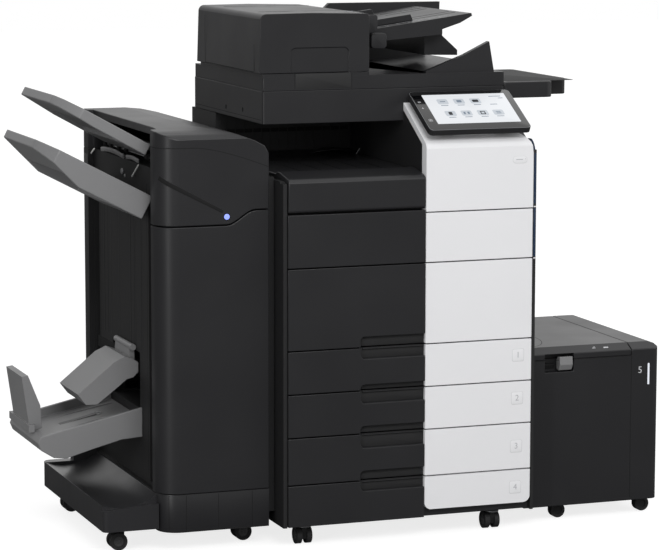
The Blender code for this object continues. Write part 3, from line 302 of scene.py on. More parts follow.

# %% [markdown]
# ## Rounding the covers
# A mould never has a sharp edge: the covers turn over a radius of one or two millimetres, and it is that
# radius that catches the light. Each listed solid's mesh is copied, its loose triangles are merged to
# flat panels, and a Bevel rounds what turns sharply; the other solids keep their mesh and take their
# finish.
# Weighted normals keep the flat panels flat. Rounding the solids themselves would be exact, but a
# modifier leaves them simple.

# %% Round the listed solids
def rounded(node, radius, look=None, steps=2, sharp=34):
    """A copy of a node as flat panels with its edges rounded, which stands for the node."""
    shape = bmesh.new()
    shape.from_mesh(frame["nodes"][node].data)
    bmesh.ops.remove_doubles(shape, verts=shape.verts, dist=0.00002)
    bmesh.ops.dissolve_limit(shape, angle_limit=math.radians(0.6), verts=shape.verts, edges=shape.edges)
    mesh = bpy.data.meshes.new(f"{node}_cover")
    shape.to_mesh(mesh)
    shape.free()
    mesh.materials.append(look or LOOK[SLOT_OF[node]])
    mesh.shade_smooth()
    mesh.set_sharp_from_angle(angle=math.radians(sharp))
    cover = bpy.data.objects.new(f"{node}_cover", mesh)
    bpy.context.scene.collection.objects.link(cover)
    bevel = cover.modifiers.new("rounded edges", "BEVEL")
    bevel.width, bevel.segments, bevel.limit_method = radius, steps, "ANGLE"
    bevel.angle_limit, bevel.use_clamp_overlap = math.radians(sharp), True
    bevel.miter_outer = "MITER_ARC"
    weigh = cover.modifiers.new("flat panels", "WEIGHTED_NORMAL")
    weigh.keep_sharp = True
    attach(cover, BODY_OF[node])
    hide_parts(node)
    return cover


EDGES = {2.2: ("finisher_foot", "work_table", "exit_tray", "adf_input_tray", "side_cabinet",
               "lower_output_tray", "upper_output_tray"),
         1.6: ("adf_feed_cover", "adf_body", "scanner_housing", "finisher_upper_cover", "finisher_door",
               "side_lid", "saddle_tray", "saddle_stop", "saddle_flap", "right_door", "imaging_unit",
               "panel_column"),
         1.0: ("tray_1", "tray_2", "tray_3", "tray_4", "upper_front_door", "lower_front_door",
               "bypass_tray", "control_panel", "side_lever", "adf_guide_front", "adf_guide_rear",
               "upper_door_panel", "lower_door_panel", "tray_panel_1", "tray_panel_2", "tray_panel_3",
               "tray_panel_4", "toner_cartridge_yellow", "toner_cartridge_magenta",
               "toner_cartridge_cyan", "toner_cartridge_black")}
SPECIAL = {"finisher_foot": foot_black, "main_frame": cabinet_steel}
for radius, nodes in EDGES.items():
    for node in nodes:
        rounded(node, radius * MM, SPECIAL.get(node))
for node, holder in frame["nodes"].items():
    holder.data.materials.clear()
    holder.data.materials.append(SPECIAL.get(node) or LOOK[SLOT_OF[node]])
print("rounded", sum(len(nodes) for nodes in EDGES.values()), "covers")

# %% [markdown]
# ## Shapes from rings
# Small parts are closed skins over a stack of rings: a button is a rounded outline that shrinks as it
# rises, a knob is a circle whose radius follows a profile, a bead is one section carried along a path.
# Boxes and cylinders from the Add menu would each need their own bevel; a stack of rings has its
# rounding built in, and one function closes them all. All points come out of numpy at once, and only
# the list of faces is built from their numbering.

# %% Rings, pads, turned shapes and beads
ARC_POINTS = 5


def outline(width, height, corner, turn=ARC_POINTS):
    """A rounded rectangle: four quarter circles of radius corner about the inset corner points."""
    angles = np.concatenate([np.linspace(0, np.pi / 2, turn) + k * np.pi / 2 for k in range(4)])
    signs = np.repeat([[1, 1], [-1, 1], [-1, -1], [1, -1]], turn, axis=0)
    middle = signs * (np.array([width, height]) / 2 - corner)
    return middle + corner * np.stack([np.cos(angles), np.sin(angles)], axis=1)


def pad(width, height, depth, corner, edge):
    """A plate in mm, whose rim turns over a quarter circle of radius edge.

    At angle a the rim is inset by edge(1 - cos a) and stands at depth - edge(1 - sin a).
    """
    rings = [(0.0, 0.0)] + [(edge * (1 - math.cos(a)), depth - edge * (1 - math.sin(a)))
                             for a in np.linspace(0, np.pi / 2, 4)]
    made = [np.column_stack([outline(width - 2 * i, height - 2 * i, max(corner - i, 0.05)),
                             np.full(4 * ARC_POINTS, h)]) for i, h in rings]
    return np.array(made) * MM


def turned(profile, count=28):
    """A turned shape in mm: each (radius, height) of the profile is a circle, radius (cos t, sin t)."""
    angles = np.linspace(0, 2 * np.pi, count, endpoint=False)
    circle = np.stack([np.cos(angles), np.sin(angles)], axis=1)
    return np.array([np.column_stack([circle * r, np.full(count, h)]) for r, h in profile]) * MM


def bead(path, width, height, up=(0, 0, 1), round_off=0.3, swell=1.0):
    """A strip along a path in metres: its width in mm lies along tangent x up, its height along up."""
    path = np.asarray(path, float)
    along = np.gradient(path, axis=0)
    along /= np.linalg.norm(along, axis=1, keepdims=True)
    out = np.broadcast_to(np.asarray(up, float), path.shape)
    across = np.cross(along, out)
    across /= np.linalg.norm(across, axis=1, keepdims=True)
    out = np.cross(across, along)
    section = outline(width, height, min(width, height) * round_off, 3) * MM
    across = across * np.broadcast_to(swell, len(path))[:, None]
    return path[:, None] + section[None, :, :1] * across[:, None] + section[None, :, 1:] * out[:, None]


def strip(ends, width, height, up=(0, 0, 1), round_off=0.3):
    """A straight bead between two points."""
    return bead(np.linspace(*ends, 2), width, height, up, round_off)


def plate(place, width, height, depth, corner, edge, face=FRONT):
    """A pad at a place given in mm from the main unit's corner."""
    return put(pad(width, height, depth, corner, edge), spot(*place), face)


def knob(place, profile, count=28, face=FRONT):
    """A turned shape at a place given in mm from the main unit's corner, standing out of a face."""
    return put(turned(profile, count), spot(*place), face)


def line(tail, head, width, height, up=(0, 0, 1), round_off=0.3):
    """A straight bead between two places given in mm from the main unit's corner."""
    return strip((spot(*tail), spot(*head)), width, height, up, round_off)


def block(x0, x1, y0, y1, z0, z1, edge=1.0):
    """A box in mm whose upright and upper edges are rounded."""
    return plate(((x0 + x1) / 2, (y0 + y1) / 2, z0), x1 - x0, y1 - y0, z1 - z0, edge * 1.5, edge, TOP)


def skin(rings):
    """Points and faces of a closed skin: quads between neighbouring rings, and a cap on each end."""
    count, around = rings.shape[:2]
    first = (np.arange(count - 1)[:, None] * around + np.arange(around)).ravel()
    after = (np.arange(count - 1)[:, None] * around + (np.arange(around) + 1) % around).ravel()
    quads = np.stack([first, after, after + around, first + around], axis=1).tolist()
    last = np.arange(around) + (count - 1) * around
    return rings.reshape(-1, 3), quads + [list(range(around))[::-1], last.tolist()]


def put(rings, at, face=FRONT):
    """Rings drawn with u right, v up and w outwards, moved to a point on a face."""
    right, up = (np.array(axis, float) for axis in face)
    out = np.cross(right, up)
    return np.asarray(at) + rings[..., :1] * right + rings[..., 1:2] * up + rings[..., 2:] * out


SHARP_DEGREES = 40


def build(name, shapes, look, body):
    """One object made of closed skins, its faces turned outwards, riding on a body.
    """
    points, faces, start_at = [], [], 0
    for rings in shapes:
        verts, polygons = skin(np.asarray(rings))
        points.append(verts)
        faces += [[i + start_at for i in polygon] for polygon in polygons]
        start_at += len(verts)
    mesh = bpy.data.meshes.new(name)
    mesh.from_pydata(np.concatenate(points).tolist(), [], faces)
    shape = bmesh.new()
    shape.from_mesh(mesh)
    bmesh.ops.recalc_face_normals(shape, faces=shape.faces)
    shape.to_mesh(mesh)
    shape.free()
    mesh.materials.append(look)
    mesh.shade_smooth()
    mesh.set_sharp_from_angle(angle=math.radians(SHARP_DEGREES))
    made = bpy.data.objects.new(name, mesh)
    bpy.context.scene.collection.objects.link(made)
    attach(made, body)
    return made


print("ring of a pad:", pad(10, 10, 2, 2, 1).shape)

# %% [markdown]
# ## Operation panel
# A tablet on two arms: a black hard-coated face in a thin metal-coloured rim, a lit display with tiles
# for its functions, and a narrow strip of touch keys at its left. Its face is tilted, so its directions
# follow the tilt of the solid: the front edge has the lowest y, the rear edge the highest z. The tiles
# are thin lit plates and not one image, because plates stay sharp from any distance.

# %% Panel face, display and symbols
panel = span("control_panel")
tilt = math.radians(28.6)
PANEL_FACE = ((1, 0, 0), (0, math.cos(tilt), math.sin(tilt)))
PANEL_OUT = np.cross(*(np.array(axis) for axis in PANEL_FACE))
PANEL_LONG = 160.0
panel_middle = np.array([(panel.x0 + panel.x1) / 2, panel.y0 + PANEL_LONG / 2 * MM * math.cos(tilt),
                         panel.z1 - PANEL_LONG / 2 * MM * math.sin(tilt)])


def on_panel(across, along, lift=0.0):
    """A point on the panel's face, in mm from its middle: across to the right and along to the rear."""
    directions = np.array([*PANEL_FACE, PANEL_OUT])
    return panel_middle + np.array([across, along, lift]) @ directions * MM


def panel_pad(wide, long, across, along, lift, corner=2.0, thick=0.4):
    """A thin plate lying on the panel's face."""
    return put(pad(wide, long, thick, corner, 0.15), on_panel(across, along, lift), PANEL_FACE)


build("panel_rim", [panel_pad(249.2, 159.2, 0, 0, -3.0, 10.5, 3.3)], rim, "operation_panel")
build("panel_face", [panel_pad(246.6, 156.6, 0, 0, 0.0, 9.5, 0.5)], gloss, "operation_panel")
build("display", [panel_pad(204.5, 119.5, 5.2, 4.7, 0.4, 1.2)], lit_white, "operation_panel")
tiles = [(-55, 34.6), (-14.5, 34.6), (26, 34.6), (66.5, 34.6), (-52.5, -14.5), (-12.9, -14.5),
         (27.2, -14.5), (66, -14.5)]
build("display_tiles", [panel_pad(26, 21, x, y, 0.7, 4) for x, y in tiles if (x, y) != (66.5, 34.6)],
      lit_tile, "operation_panel")
names = [panel_pad(18, 2.0, x, y - 15.5, 0.7, 0.9) for x, y in tiles]
marks = [panel_pad(12, 9, *tiles[1], 0.95, 2), panel_pad(13, 3, *tiles[0], 0.95, 1),
         panel_pad(5, 9, -18, -14.5, 0.95, 1), panel_pad(5, 9, -8, -14.5, 0.95, 1),
         panel_pad(12, 2.4, 66, -12, 0.95, 1), panel_pad(12, 2.4, 66, -18, 0.95, 1),
         panel_pad(30, 2.0, 80, 52, 0.7, 0.9), panel_pad(12, 2.0, 92, 44, 0.7, 0.9)]
build("display_marks", names + marks, lit_mark, "operation_panel")
build("display_symbols",
      [panel_pad(*row)
       for row in ((15, 10, 26, 34.6, 0.95, 2), (9, 12, -52.5, -14.5, 0.95, 2),
                   (12, 2.4, 27.2, -10, 0.95, 0.8), (12, 2.4, 27.2, -20, 0.95, 0.8),
                   (2.4, 12, 22.4, -15, 0.95, 0.8), (2.4, 12, 32, -15, 0.95, 0.8))], dark_mark,
      "operation_panel")
home = turned([(5.2, 0), (5.2, 0.25), (4.6, 0.35)])
build("home_key_ring", [put(home, on_panel(-110, -39, 0.4), PANEL_FACE)], ink, "operation_panel")
build("home_key",
      [put(turned([(4.2, 0), (4.2, 0.5), (3.9, 0.6)]), on_panel(-110, -39, 0.4), PANEL_FACE)], gloss,
      "operation_panel")
build("touch_marks",
      [panel_pad(*row)
       for row in ((4.2, 3.6, -110, -39, 0.95, 0.6), (6, 1.4, -112, 10.4, 0.45, 0.6),
                   (1.4, 6, -112, 10.4, 0.45, 0.6), (7, 1.2, -112, 34, 0.45, 0.5),
                   (7, 1.2, -112, 37, 0.45, 0.5))], ink, "operation_panel")
back_slots = [panel_pad(60, 2.4, 0, 52 - 6 * i, -14.5, 1.1, 0.8) for i in range(5)]
build("panel_back_slots", back_slots, seam_dark_and_slot_shade, "operation_panel")
print("panel middle", panel_middle.round(4))

# %% [markdown]
# ## White column and drawer signs
# An oval lamp window sits high on the white column, and each drawer has its number on a small printed
# square. Numerals are text turned to a mesh, because a mesh can be placed and exported as it is.

# %% Lamp window, gauges and numerals
def numeral(name, text, size, at, face, look, body):
    """A flat numeral, size mm tall, centred on a point of a face."""
    curve = bpy.data.curves.new(name, "FONT")
    curve.body, curve.size, curve.extrude = text, size * MM * 1.4, 0.0001
    curve.align_x, curve.align_y = "CENTER", "CENTER"
    guide = bpy.data.objects.new(name, curve)
    bpy.context.scene.collection.objects.link(guide)
    mesh = bpy.data.meshes.new_from_object(guide.evaluated_get(bpy.context.evaluated_depsgraph_get()))
    bpy.data.objects.remove(guide, do_unlink=True)
    points = np.empty(len(mesh.vertices) * 3)
    mesh.vertices.foreach_get("co", points)
    mesh.vertices.foreach_set("co", put(points.reshape(-1, 3), at, face).ravel())
    mesh.materials.clear()
    mesh.materials.append(look)
    made = bpy.data.objects.new(name, mesh)
    bpy.context.scene.collection.objects.link(made)
    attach(made, body)


build("lamp_window_rim", [plate((570.5, -0.05, 866.6), 36, 17, 0.25, 8, 0.1)], line_grey, "main_unit")
build("lamp_window", [plate((570.5, -0.05, 866.6), 34.4, 15.4, 0.40, 7.4, 0.1)], white, "main_unit")
build("lamp_dash",
      [plate((569.5, -0.05, 867), 17, 1.8, 0.55, 0.8, 0.1),
       knob((584, -0.05, 868), [(1.0, 0), (1.0, 0.5), (0.8, 0.55)], 12)], mark_grey, "main_unit")
GAUGE_Z = {1: 413.7, 2: 313.0, 3: 200.0, 4: 103.1}
GAUGE_X = {1: 570.6, 2: 569.3, 3: 568.0, 4: 566.6}
for number in (1, 2, 3, 4):
    centre = spot(GAUGE_X[number], 0, GAUGE_Z[number])
    body = f"drawer_{number}"
    build(f"number_square_{number}", [put(pad(30, 30, 0.2, 4, 0.1), centre)], line_grey, body)
    build(f"number_field_{number}", [put(pad(27.6, 27.6, 0.32, 3.4, 0.1), centre)], white, body)
    numeral(f"drawer_numeral_{number}", str(number), 14, centre - [0, 0.0004, 0], FRONT, mark_grey,
            body)
trim = np.radians(np.linspace(-8, 34, 9))
build("shoulder_trim",
      [bead(spot(559.7 + 48.4 * np.cos(trim), 14, 885 + 48.4 * np.sin(trim)), 22, 4.4,
            np.stack([np.cos(trim), 0 * trim, np.sin(trim)], axis=1))], smoke, "main_unit")
build("column_trim",
      [plate((609.6, 2.2, 822), 5.6, 116, 0.8, 1.2, 0.4),
       plate((609.6, 2.2, 698), 5.6, 112, 0.8, 1.2, 0.4)], smoke, "main_unit")
build("seam_tabs", [plate((609.6, 2.2, z), 5.4, 2.6, 1.0, 0.8, 0.3) for z in (757, 638)], white,
      "main_unit")
print("numerals on", 4, "drawers")

# %% [markdown]
# ## Hand-holds
# Each hand-hold is a pocket across the seam between two fronts. A dark liner closes its back, the lower
# edge carries a rounded pull lip, and a thin rib stiffens the liner. The liners paint the pocket's
# shade, one at its back and one above the seam, but a lip that catches light is what tells the eye how
# deep it is.

# %% Painted shade liners and pull lips
HOLDS = {1: (452, 25, 27), 2: (353, 14, 30), 3: (253.6, 18, 34), 4: (145, 23, 25)}
for number, (seam, above, below) in HOLDS.items():
    body, low = f"drawer_{number}", seam - below
    tall = below - 2.2
    # the liner's dark colour is painted shade at the back of the pocket
    build(f"pull_painted_shade_{number}", [plate((262, 11.8, low + 1 + tall / 2), 152, tall, 0.8, 5, 0.3)],
          soot, body)
    build(f"pull_lip_{number}",
          [line((193, 3.0, low + 0.4), (338, 3.0, low + 0.4), 5.0, 1.8, round_off=0.45),
           line((190, 8.6, seam - 3.4), (338, 8.6, seam - 3.4), 5.0, 2.2, round_off=0.45)], charcoal,
          body)
    upper = f"drawer_{number - 1}" if number > 1 else "service_door"
    # a dark plate above the seam is painted shade under the upper front's edge
    build(f"hood_painted_shade_{number}",
          [plate((263, 11.8, seam + above / 2 + 0.6), 150, above - 3, 0.8, 4, 0.3)], soot, upper)
print("hand-holds lined")

# %% [markdown]
# ## Finisher front
# Lines on the rounded front are drawn by arc length s, in mm from the front's right edge: straight for
# 206 mm, then a quarter turn of radius 50 mm, then straight back. The upper seam falls away to the right
# as z = 912.7 - 47.5 t^1.45, where t goes from 0 to 1 over the last 171 mm. A groove cut in the solid
# would be truer, but a dark strip that follows the surface looks the same from a step away; in the paper
# slit that dark is painted shade.

# %% Seams, paper slit and lamp
def around(s, z, lift=0.0):
    """Points and outward directions on the front: angle a = (s - 206)/50 clamped to a quarter turn."""
    s, z = np.broadcast_arrays(np.asarray(s, float), z)
    a = np.clip((s - 206.0) / 50.0, 0, np.pi / 2)
    normal = np.stack([-np.sin(a), -np.cos(a), 0 * a], axis=1)
    base = spot(-18.7 - np.minimum(s, 206.0) - 50 * np.sin(a),
                100 - 50 * np.cos(a) + np.maximum(s - 284.54, 0), z)
    return base + normal * lift * MM, normal


s = np.linspace(1.0, 300.0, 60)
t = np.clip((171.3 - s) / 171.3, 0, 1)
path, normal = around(s, 912.7 - 47.5 * t ** 1.45)
build("upper_seam", [bead(path, 1.5, 0.4, normal)], seam_dark_and_slot_shade, "finisher")
# the paper slit's dark strip is painted shade, the dark inside a cut slit
s = np.linspace(108.0, 258.0, 40)
path, normal = around(s, 768.1 + (s - 108.0) * 0.5233)
build("status_slit", [bead(path, 7.5, 0.5, normal, swell=0.85 + (s - 108) / 300)], seam_dark_and_slot_shade, "finisher")
path, normal = around(s, 773.2 + (s - 108.0) * 0.536)
build("slit_rim", [bead(path, 1.1, 0.9, normal)], charcoal, "finisher")
build("status_lamp", [knob((-117.9, 50, 757.0), [(6.4, 0), (6.4, 0.9), (5.4, 1.6), (2.6, 1.9)])],
      lit_blue, "finisher")
build("status_lamp_rim", [knob((-117.9, 50, 757.0), [(7.6, 0), (7.6, 0.6), (7.0, 0.9)])], seam_dark_and_slot_shade,
      "finisher")
s = np.linspace(0.0, 284.0, 48)
path, normal = around(s, 90.0, -3.6)
build("skirt", [bead(path, 84, 0.8, normal, 0.2)], charcoal, "finisher")
skirt_seams = []
for place in (40.0, 120.0, 196.0, 238.0):
    ends, normal = around(np.array([place, place]), np.array([50.0, 130.0]), -3.1)
    skirt_seams.append(bead(ends, 1.3, 0.4, normal))
build("skirt_seams", skirt_seams, seam_dark_and_slot_shade, "finisher")
print("finisher front drawn")

# %% [markdown]
# ## Finisher left side
# The side that delivers paper: ribs between which the lower tray's carriage runs, white static brushes
# and pale paper holders at the exits, a small dark shutter above the booklet gate. Ribs and grooves are
# straight beads, and the rollers behind the exits are turned, as real ones are.

# %% Ribs, brushes and holders
SIDE = -260.0
OUT = (-1, 0, 0)


def upright(y, z0, z1, width, height):
    """A straight upright strip on the side that looks left."""
    return line((SIDE, y, z0), (SIDE, y, z1), width, height, OUT)


ribs = [upright(y, 440 if y == 430 else 432, 780, 3.4, 0.4) for y in (237.5, 295, 336, 430, 499, 560)]
build("side_ribs", ribs, charcoal, "finisher")
# the grooves are flat dark strips: their colour is painted shade in place of cut grooves
grooves = [upright(y, 432, 780, 1.6, 0.3) for y in (243, 300, 331, 525, 555)]
grooves += [upright(y, z0, z1, 1.6, 0.3)
            for y, z0, z1 in ((197, 150, 820), (592, 150, 820), (650, 60, 850))]
build("side_grooves", grooves, seam_dark_and_slot_shade, "finisher")
build("rear_post_cover", [plate((-273.5, 665, 488), 37, 716, 0.6, 3, 0.4, LEFT)], charcoal, "finisher")
build("shutter", [plate((SIDE, 535, 399), 168, 28, 0.5, 3, 0.3, LEFT)], seam_dark_and_slot_shade, "finisher")
build("static_brushes",
      [line((-266, 678, 833), (-266, 617, 862), 4.2, 2.6, OUT, 0.45),
       line((-264, 299, 828), (-264, 249, 858), 4.2, 2.6, OUT, 0.45)], bristle, "finisher")
build("paper_holders",
      [bead(spot(np.full(9, -268.0), np.linspace(545, 356, 9),
                 868 + 5 * np.sin(np.linspace(0, np.pi, 9))), 11, 4, OUT, 0.45),
       bead(spot(np.full(9, -268.0), np.linspace(331, 236, 9),
                 869 + 3 * np.sin(np.linspace(0, np.pi, 9))), 10, 4, OUT, 0.45)], grey, "finisher")
rollers = [knob((-236, y, 874), [(7.5, -9), (8.2, -8), (8.2, 8), (7.5, 9)], 24)
           for y in (205, 262, 430, 490, 560, 610)]
build("exit_rollers", rollers, foam, "finisher")
build("exit_shaft", [knob((-236, 632, 874), [(2.6, 0), (2.6, 470)], 16)], zinc, "finisher")
build("stack_sensor",
      [knob((SIDE, 394, 830), [(7, 0), (7, 2.4), (5.6, 3.2), (2.4, 3.4)], face=LEFT),
       knob((SIDE, 372, 822), [(4, 0), (4, 1.6), (3, 2.2)], face=LEFT)], pale, "finisher")
print("left side dressed")

# %% [markdown]
# ## Trays of the finisher
# The tilted trays have shallow ribs that keep a stack from sticking, and short cross ribs near the tip.
# They could be built level and turned afterwards; here the tray's own directions carry the tilt, so it
# is written once. A tray's lower edge is at x -260, and it rises to the left.

# %% Ribs on the output trays
def tray_axes(degrees):
    """The directions along a tray that rises to the left at an angle, and out of its top."""
    a = math.radians(degrees)
    return np.array([-math.cos(a), 0, math.sin(a)]), np.array([math.sin(a), 0, math.cos(a)])


for name, body, slope, z, long in (("upper", "finisher", 29.0, 912.0, 230.0),
                                   ("lower", "stacking_tray", 27.7, 797.0, 276.0)):
    ahead, rise = tray_axes(slope)
    ribs = []
    for y in (215.0, 265.0, 315.0, 365.0, 415.0, 465.0):
        foot = spot(-260.3, y, z) - rise * 9.7 * MM
        ribs.append(strip((foot + ahead * 0.030, foot + ahead * (long - 70) * MM), 3.0, 1.6, rise, 0.4))
    for i in range(5):
        foot = spot(-260.3, 0, z) - rise * 9.8 * MM + ahead * (long - 48 + 6 * i) * MM
        ribs.append(strip((foot + [0, 0.300, 0], foot + [0, 0.400, 0]), 2.4, 0.8, rise, 0.4))
    build(f"{name}_tray_ribs", ribs, grey, body)
print("tray ribs built")

# %% [markdown]
# ## Booklet tray and its stop
# Folded booklets slide down the sloping tray to a stop that runs in a long slot. Bowed channels keep the
# sheets off the bed, and the stop's plate has two notches and a window for the finger. The bed's height
# is one formula in x, so every bead on it lies true.

# %% Booklet tray
fall = math.tan(math.radians(12.5))
TRAY_RISE = np.array([-math.sin(math.radians(12.5)), 0, math.cos(math.radians(12.5))])


def on_booklet(x, y, lift=0.0):
    """A point on the booklet tray's bed: z = 278 - fall (-260 - x), from its right end."""
    return spot(x, y, 278.6 - (-260.3 - np.asarray(x, float)) * fall + lift)


build("stop_slot", [strip((on_booklet(-470, 395), on_booklet(-330, 395)), 20, 0.8, TRAY_RISE, 0.49)],
      charcoal, "finisher")
build("stop_slot_rim",
      [bead(on_booklet(np.array([-330.0, -322, -318, -322, -330]),
                       np.array([409.0, 407, 395, 383, 381])), 2.2, 1.6, TRAY_RISE, 0.45)], pale,
      "finisher")
channels = [bead(on_booklet(np.linspace(-468, -275, 16), y + 9 * np.sin(np.linspace(0, np.pi, 16))),
                 4.0, 1.4, TRAY_RISE, 0.45) for y in (292.0, 330.0, 455.0, 490.0)]
build("booklet_channels", channels, grey, "finisher")
# the notches and the finger window are dark plates of painted shade
build("stop_marks",
      [plate((-504.0, 395, 352), 26, 4, 0.5, 1.8, 0.2, RIGHT),
       plate((-497.5, 432, 330), 4, 26, 0.5, 1.8, 0.2, RIGHT),
       plate((-497.5, 358, 330), 4, 26, 0.5, 1.8, 0.2, RIGHT)], seam_dark_and_slot_shade, "booklet_stop")
print("booklet tray dressed")

# %% [markdown]
# ## Document feeder
# The feeder's cover has an inset panel on its left, a grip that runs down into the base and two small
# levers by the input slot. The input tray carries a paper scale and ribs, and the underside a white
# foam-backed sheet that presses the original on the glass. The scale's lines are thin raised ink, which
# needs no unwrapping and can't blur.

# %% Feeder details
COVER_X = -9.0
build("cover_inset",
      [line((COVER_X, 548, 1068), (COVER_X, 182, 1068), 1.4, 0.3, OUT),
       line((COVER_X, 549, 1068), (COVER_X, 549, 1180), 1.0, 0.3, OUT),
       line((COVER_X, 182, 1068), (COVER_X, 182, 1131), 1.0, 0.3, OUT)], seam_dark_and_slot_shade, "feeder_cover")
build("grip_sides",
      [line((x, 148, 1029), (x, 148, 1064.5), 1.2, 0.3, (0, -1, 0)) for x in (77.0, 215.0)], seam_dark_and_slot_shade,
      "document_feeder")
# the grip's darker face is painted shade inside the grip's recess
build("grip_painted_shade", [plate((146, 148, 1046.5), 134, 34, 0.15, 1, 0.05)], soot, "document_feeder")
build("cover_latch", [plate((271, 168, 1173), 26, 41, 3.0, 6, 1.0)], charcoal, "feeder_cover")
build("tray_release", [plate((292, 190, 1133), 38, 36, 14.0, 8, 2.0)], charcoal, "feeder_tray")
build("cover_top_lines", [line((22, y, 1200.9), (236, y, 1200.9), 1.6, 0.3) for y in (240.0, 500.0)],
      seam_dark_and_slot_shade, "feeder_cover")
build("cover_window", [plate((226, 200, 1200.6), 26, 7, 0.4, 3, 0.2, TOP)], smoke, "feeder_cover")
rise = 37.0 / 269.2
tray_out = np.array([-rise, 0, 1]) / math.hypot(rise, 1)


def on_input(x, y, lift=0.0):
    """A point on the input tray's top, which rises to the right by 37 mm in 269 mm."""
    return spot(x, y, 1155.5 + (np.asarray(x, float) - 257.8) * rise + lift)


scale = [strip((on_input(300 + 26 * i, 205), on_input(300 + 26 * i, 214 if i % 2 else 220)), 1.0, 0.3,
               tray_out) for i in range(8)]
build("tray_scale", scale, ink, "feeder_tray")
build("tray_scale_arrow", [strip((on_input(300, 226), on_input(482, 226)), 0.8, 0.3, tray_out)], ink,
      "feeder_tray")
build("guide_slot", [strip((on_input(335, 262), on_input(335, 478)), 7, 0.3, tray_out)], seam_dark_and_slot_shade,
      "feeder_tray")
build("input_ribs",
      [strip((on_input(410, y), on_input(515, y)), 2.6, 1.2, tray_out, 0.45)
       for y in (262, 300, 440, 478)], charcoal, "feeder_tray")
build("white_backing", [plate((300, 372, 1025.85), 500, 380, 0.35, 4, 0.1, TOP)], white,
      "document_feeder")
build("separator_roller",
      [knob((214, 372, 1154), [(11, -14), (12, -12), (12, 12), (11, 14)], 24),
       knob((236, 372, 1150), [(8, -12), (9, -10), (9, 10), (8, 12)], 24)], foam, "document_feeder")
build("hinge_blocks", [block(70, 130, 667, 685, 960, 1012, 2), block(450, 510, 667, 685, 960, 1012, 2)],
      charcoal, "main_unit")
build("hinge_knuckles",
      [knob((x, 670, 1022), [(6.5, -24), (7, -23), (7, 23), (6.5, 24)], 24, LEFT)
       for x in (100.0, 480.0)], zinc, "main_unit")
print("feeder dressed")

# %% [markdown]
# ## Scanner and exit tray
# Two small oval bosses and a step line on the scanner's left, printed size marks beside the glass, and
# in the exit a raised paper flap, a full-bin lever and ribs on the rear wall. The flap is one bead whose
# width swells along its path, which saves modelling its outline.

# %% Scanner marks, flap and lever
build("scanner_bosses",
      [plate((0, 416.7, 971), 6.5, 10, 0.8, 3, 0.5, LEFT),
       plate((0, 292, 974), 6.5, 10, 0.8, 3, 0.5, LEFT)], seam_dark_and_slot_shade, "main_unit")
build("scanner_lines", [line((0, 656, 960), (0, 158, 960), 1.2, 0.3, OUT)], seam_dark_and_slot_shade, "main_unit")
marks = [line((x, 163, 1025.8), (x, 169, 1025.8), 1.0, 0.25) for x in range(60, 500, 62)]
marks += [line((38, y, 1025.8), (43, y, 1025.8), 1.0, 0.25) for y in range(190, 510, 52)]
build("size_marks", marks, ink, "main_unit")
build("scan_lamp_tube", [line((82, 200, 1008.5), (82, 530, 1008.5), 5, 3, round_off=0.49)], led_white,
      "scan_lamp")
flap = spot(np.array([228.0, 250, 272, 300, 334]), 455.0, np.array([852.0, 858, 860, 859, 855]))
build("exit_flap", [bead(flap, 60, 1.6, round_off=0.45, swell=np.array([0.25, 0.8, 1.0, 0.95, 0.6]))],
      charcoal, "main_unit")
build("bin_lever", [line((322, 404, 850), (330, 400, 864), 3.2, 2.2, (0, -1, 0), 0.45)], grey,
      "main_unit")
build("exit_ribs",
      [line((x, 499.6, 862), (x, 499.6, 938), 2.0, 1.6, (0, -1, 0), 0.45) for x in range(28, 336, 22)],
      soot, "main_unit")
build("exit_slot", [line((24, 499.8, 905), (336, 499.8, 905), 9, 0.5, (0, -1, 0))], seam_dark_and_slot_shade, "main_unit")
build("exit_tray_ribs",
      [line((x, 110, 846.6), (x, 430, 849.4), 3.0, 1.0, round_off=0.45)
       for x in (80, 130, 180, 230, 280)], charcoal, "main_unit")
print("exit dressed")

# %% [markdown]
# ## Side paper unit
# Its tall front carries the number of the drawer and a level lamp. The lid has printed signs on its
# front bevel and a curved seam near the main unit. The bevel rises 13.7 mm over 25 mm, and giving that
# slope as a face's up direction lays the signs flat on it.

# %% Number, level lamp and lid signs
SIDE_Y = 55.0
numeral("unit_numeral_5", "5", 16, spot(910.7, SIDE_Y - 0.2, 349.4), FRONT, ink, "paper_unit")
build("level_lamp", [plate((933, SIDE_Y, 339.5), 4.6, 51, 0.7, 1.6, 0.4)], led_white, "paper_unit")
build("unit_front_seam",
      [line((888, SIDE_Y, 44), (888, SIDE_Y, 396), 1.5, 0.35, (0, -1, 0)),
       line((616, SIDE_Y, 384.8), (888, SIDE_Y, 384.8), 1.0, 0.3, (0, -1, 0))], seam_dark_and_slot_shade, "paper_unit")
BEVEL = ((1, 0, 0), (0, 0.8769, 0.4806))
build("lid_signs",
      [plate((826, 67, 406.7), 13, 5, 0.25, 2.4, 0.1, BEVEL),
       plate((795, 67, 406.7), 9, 2.2, 0.25, 1, 0.1, BEVEL),
       plate((797, 70.4, 408.6), 5, 2.0, 0.25, 1, 0.1, BEVEL)], ink, "paper_lid")
curve = np.linspace(0, np.pi / 2, 14)
build("lid_seam",
      [bead(spot(635 + 75 * np.sin(curve), 90 + 132 * (1 - np.cos(curve)), 413.7), 1.5, 0.3)], seam_dark_and_slot_shade,
      "paper_lid")
build("latch_slot",
      [plate((681, 78.8, 366), 34, 9, 0.5, 3, 0.2), plate((681, 78.8, 376), 30, 2.2, 3.0, 1, 0.5)],
      seam_dark_and_slot_shade, "paper_unit")
build("level_window", [plate((921.5, SIDE_Y, 339.5), 3.2, 44, 0.2, 1.2, 0.05)], soot, "paper_unit")
print("side unit dressed")

# %% [markdown]
# ## Casters
# Every twin caster gets hubs with a stepped cap and a swivel race under its plate. A hub's profile is a
# list of radius and height pairs, turned about the axle. One loop reads each wheel's box and serves all
# of them, so a hub stays in the middle of its own wheel.

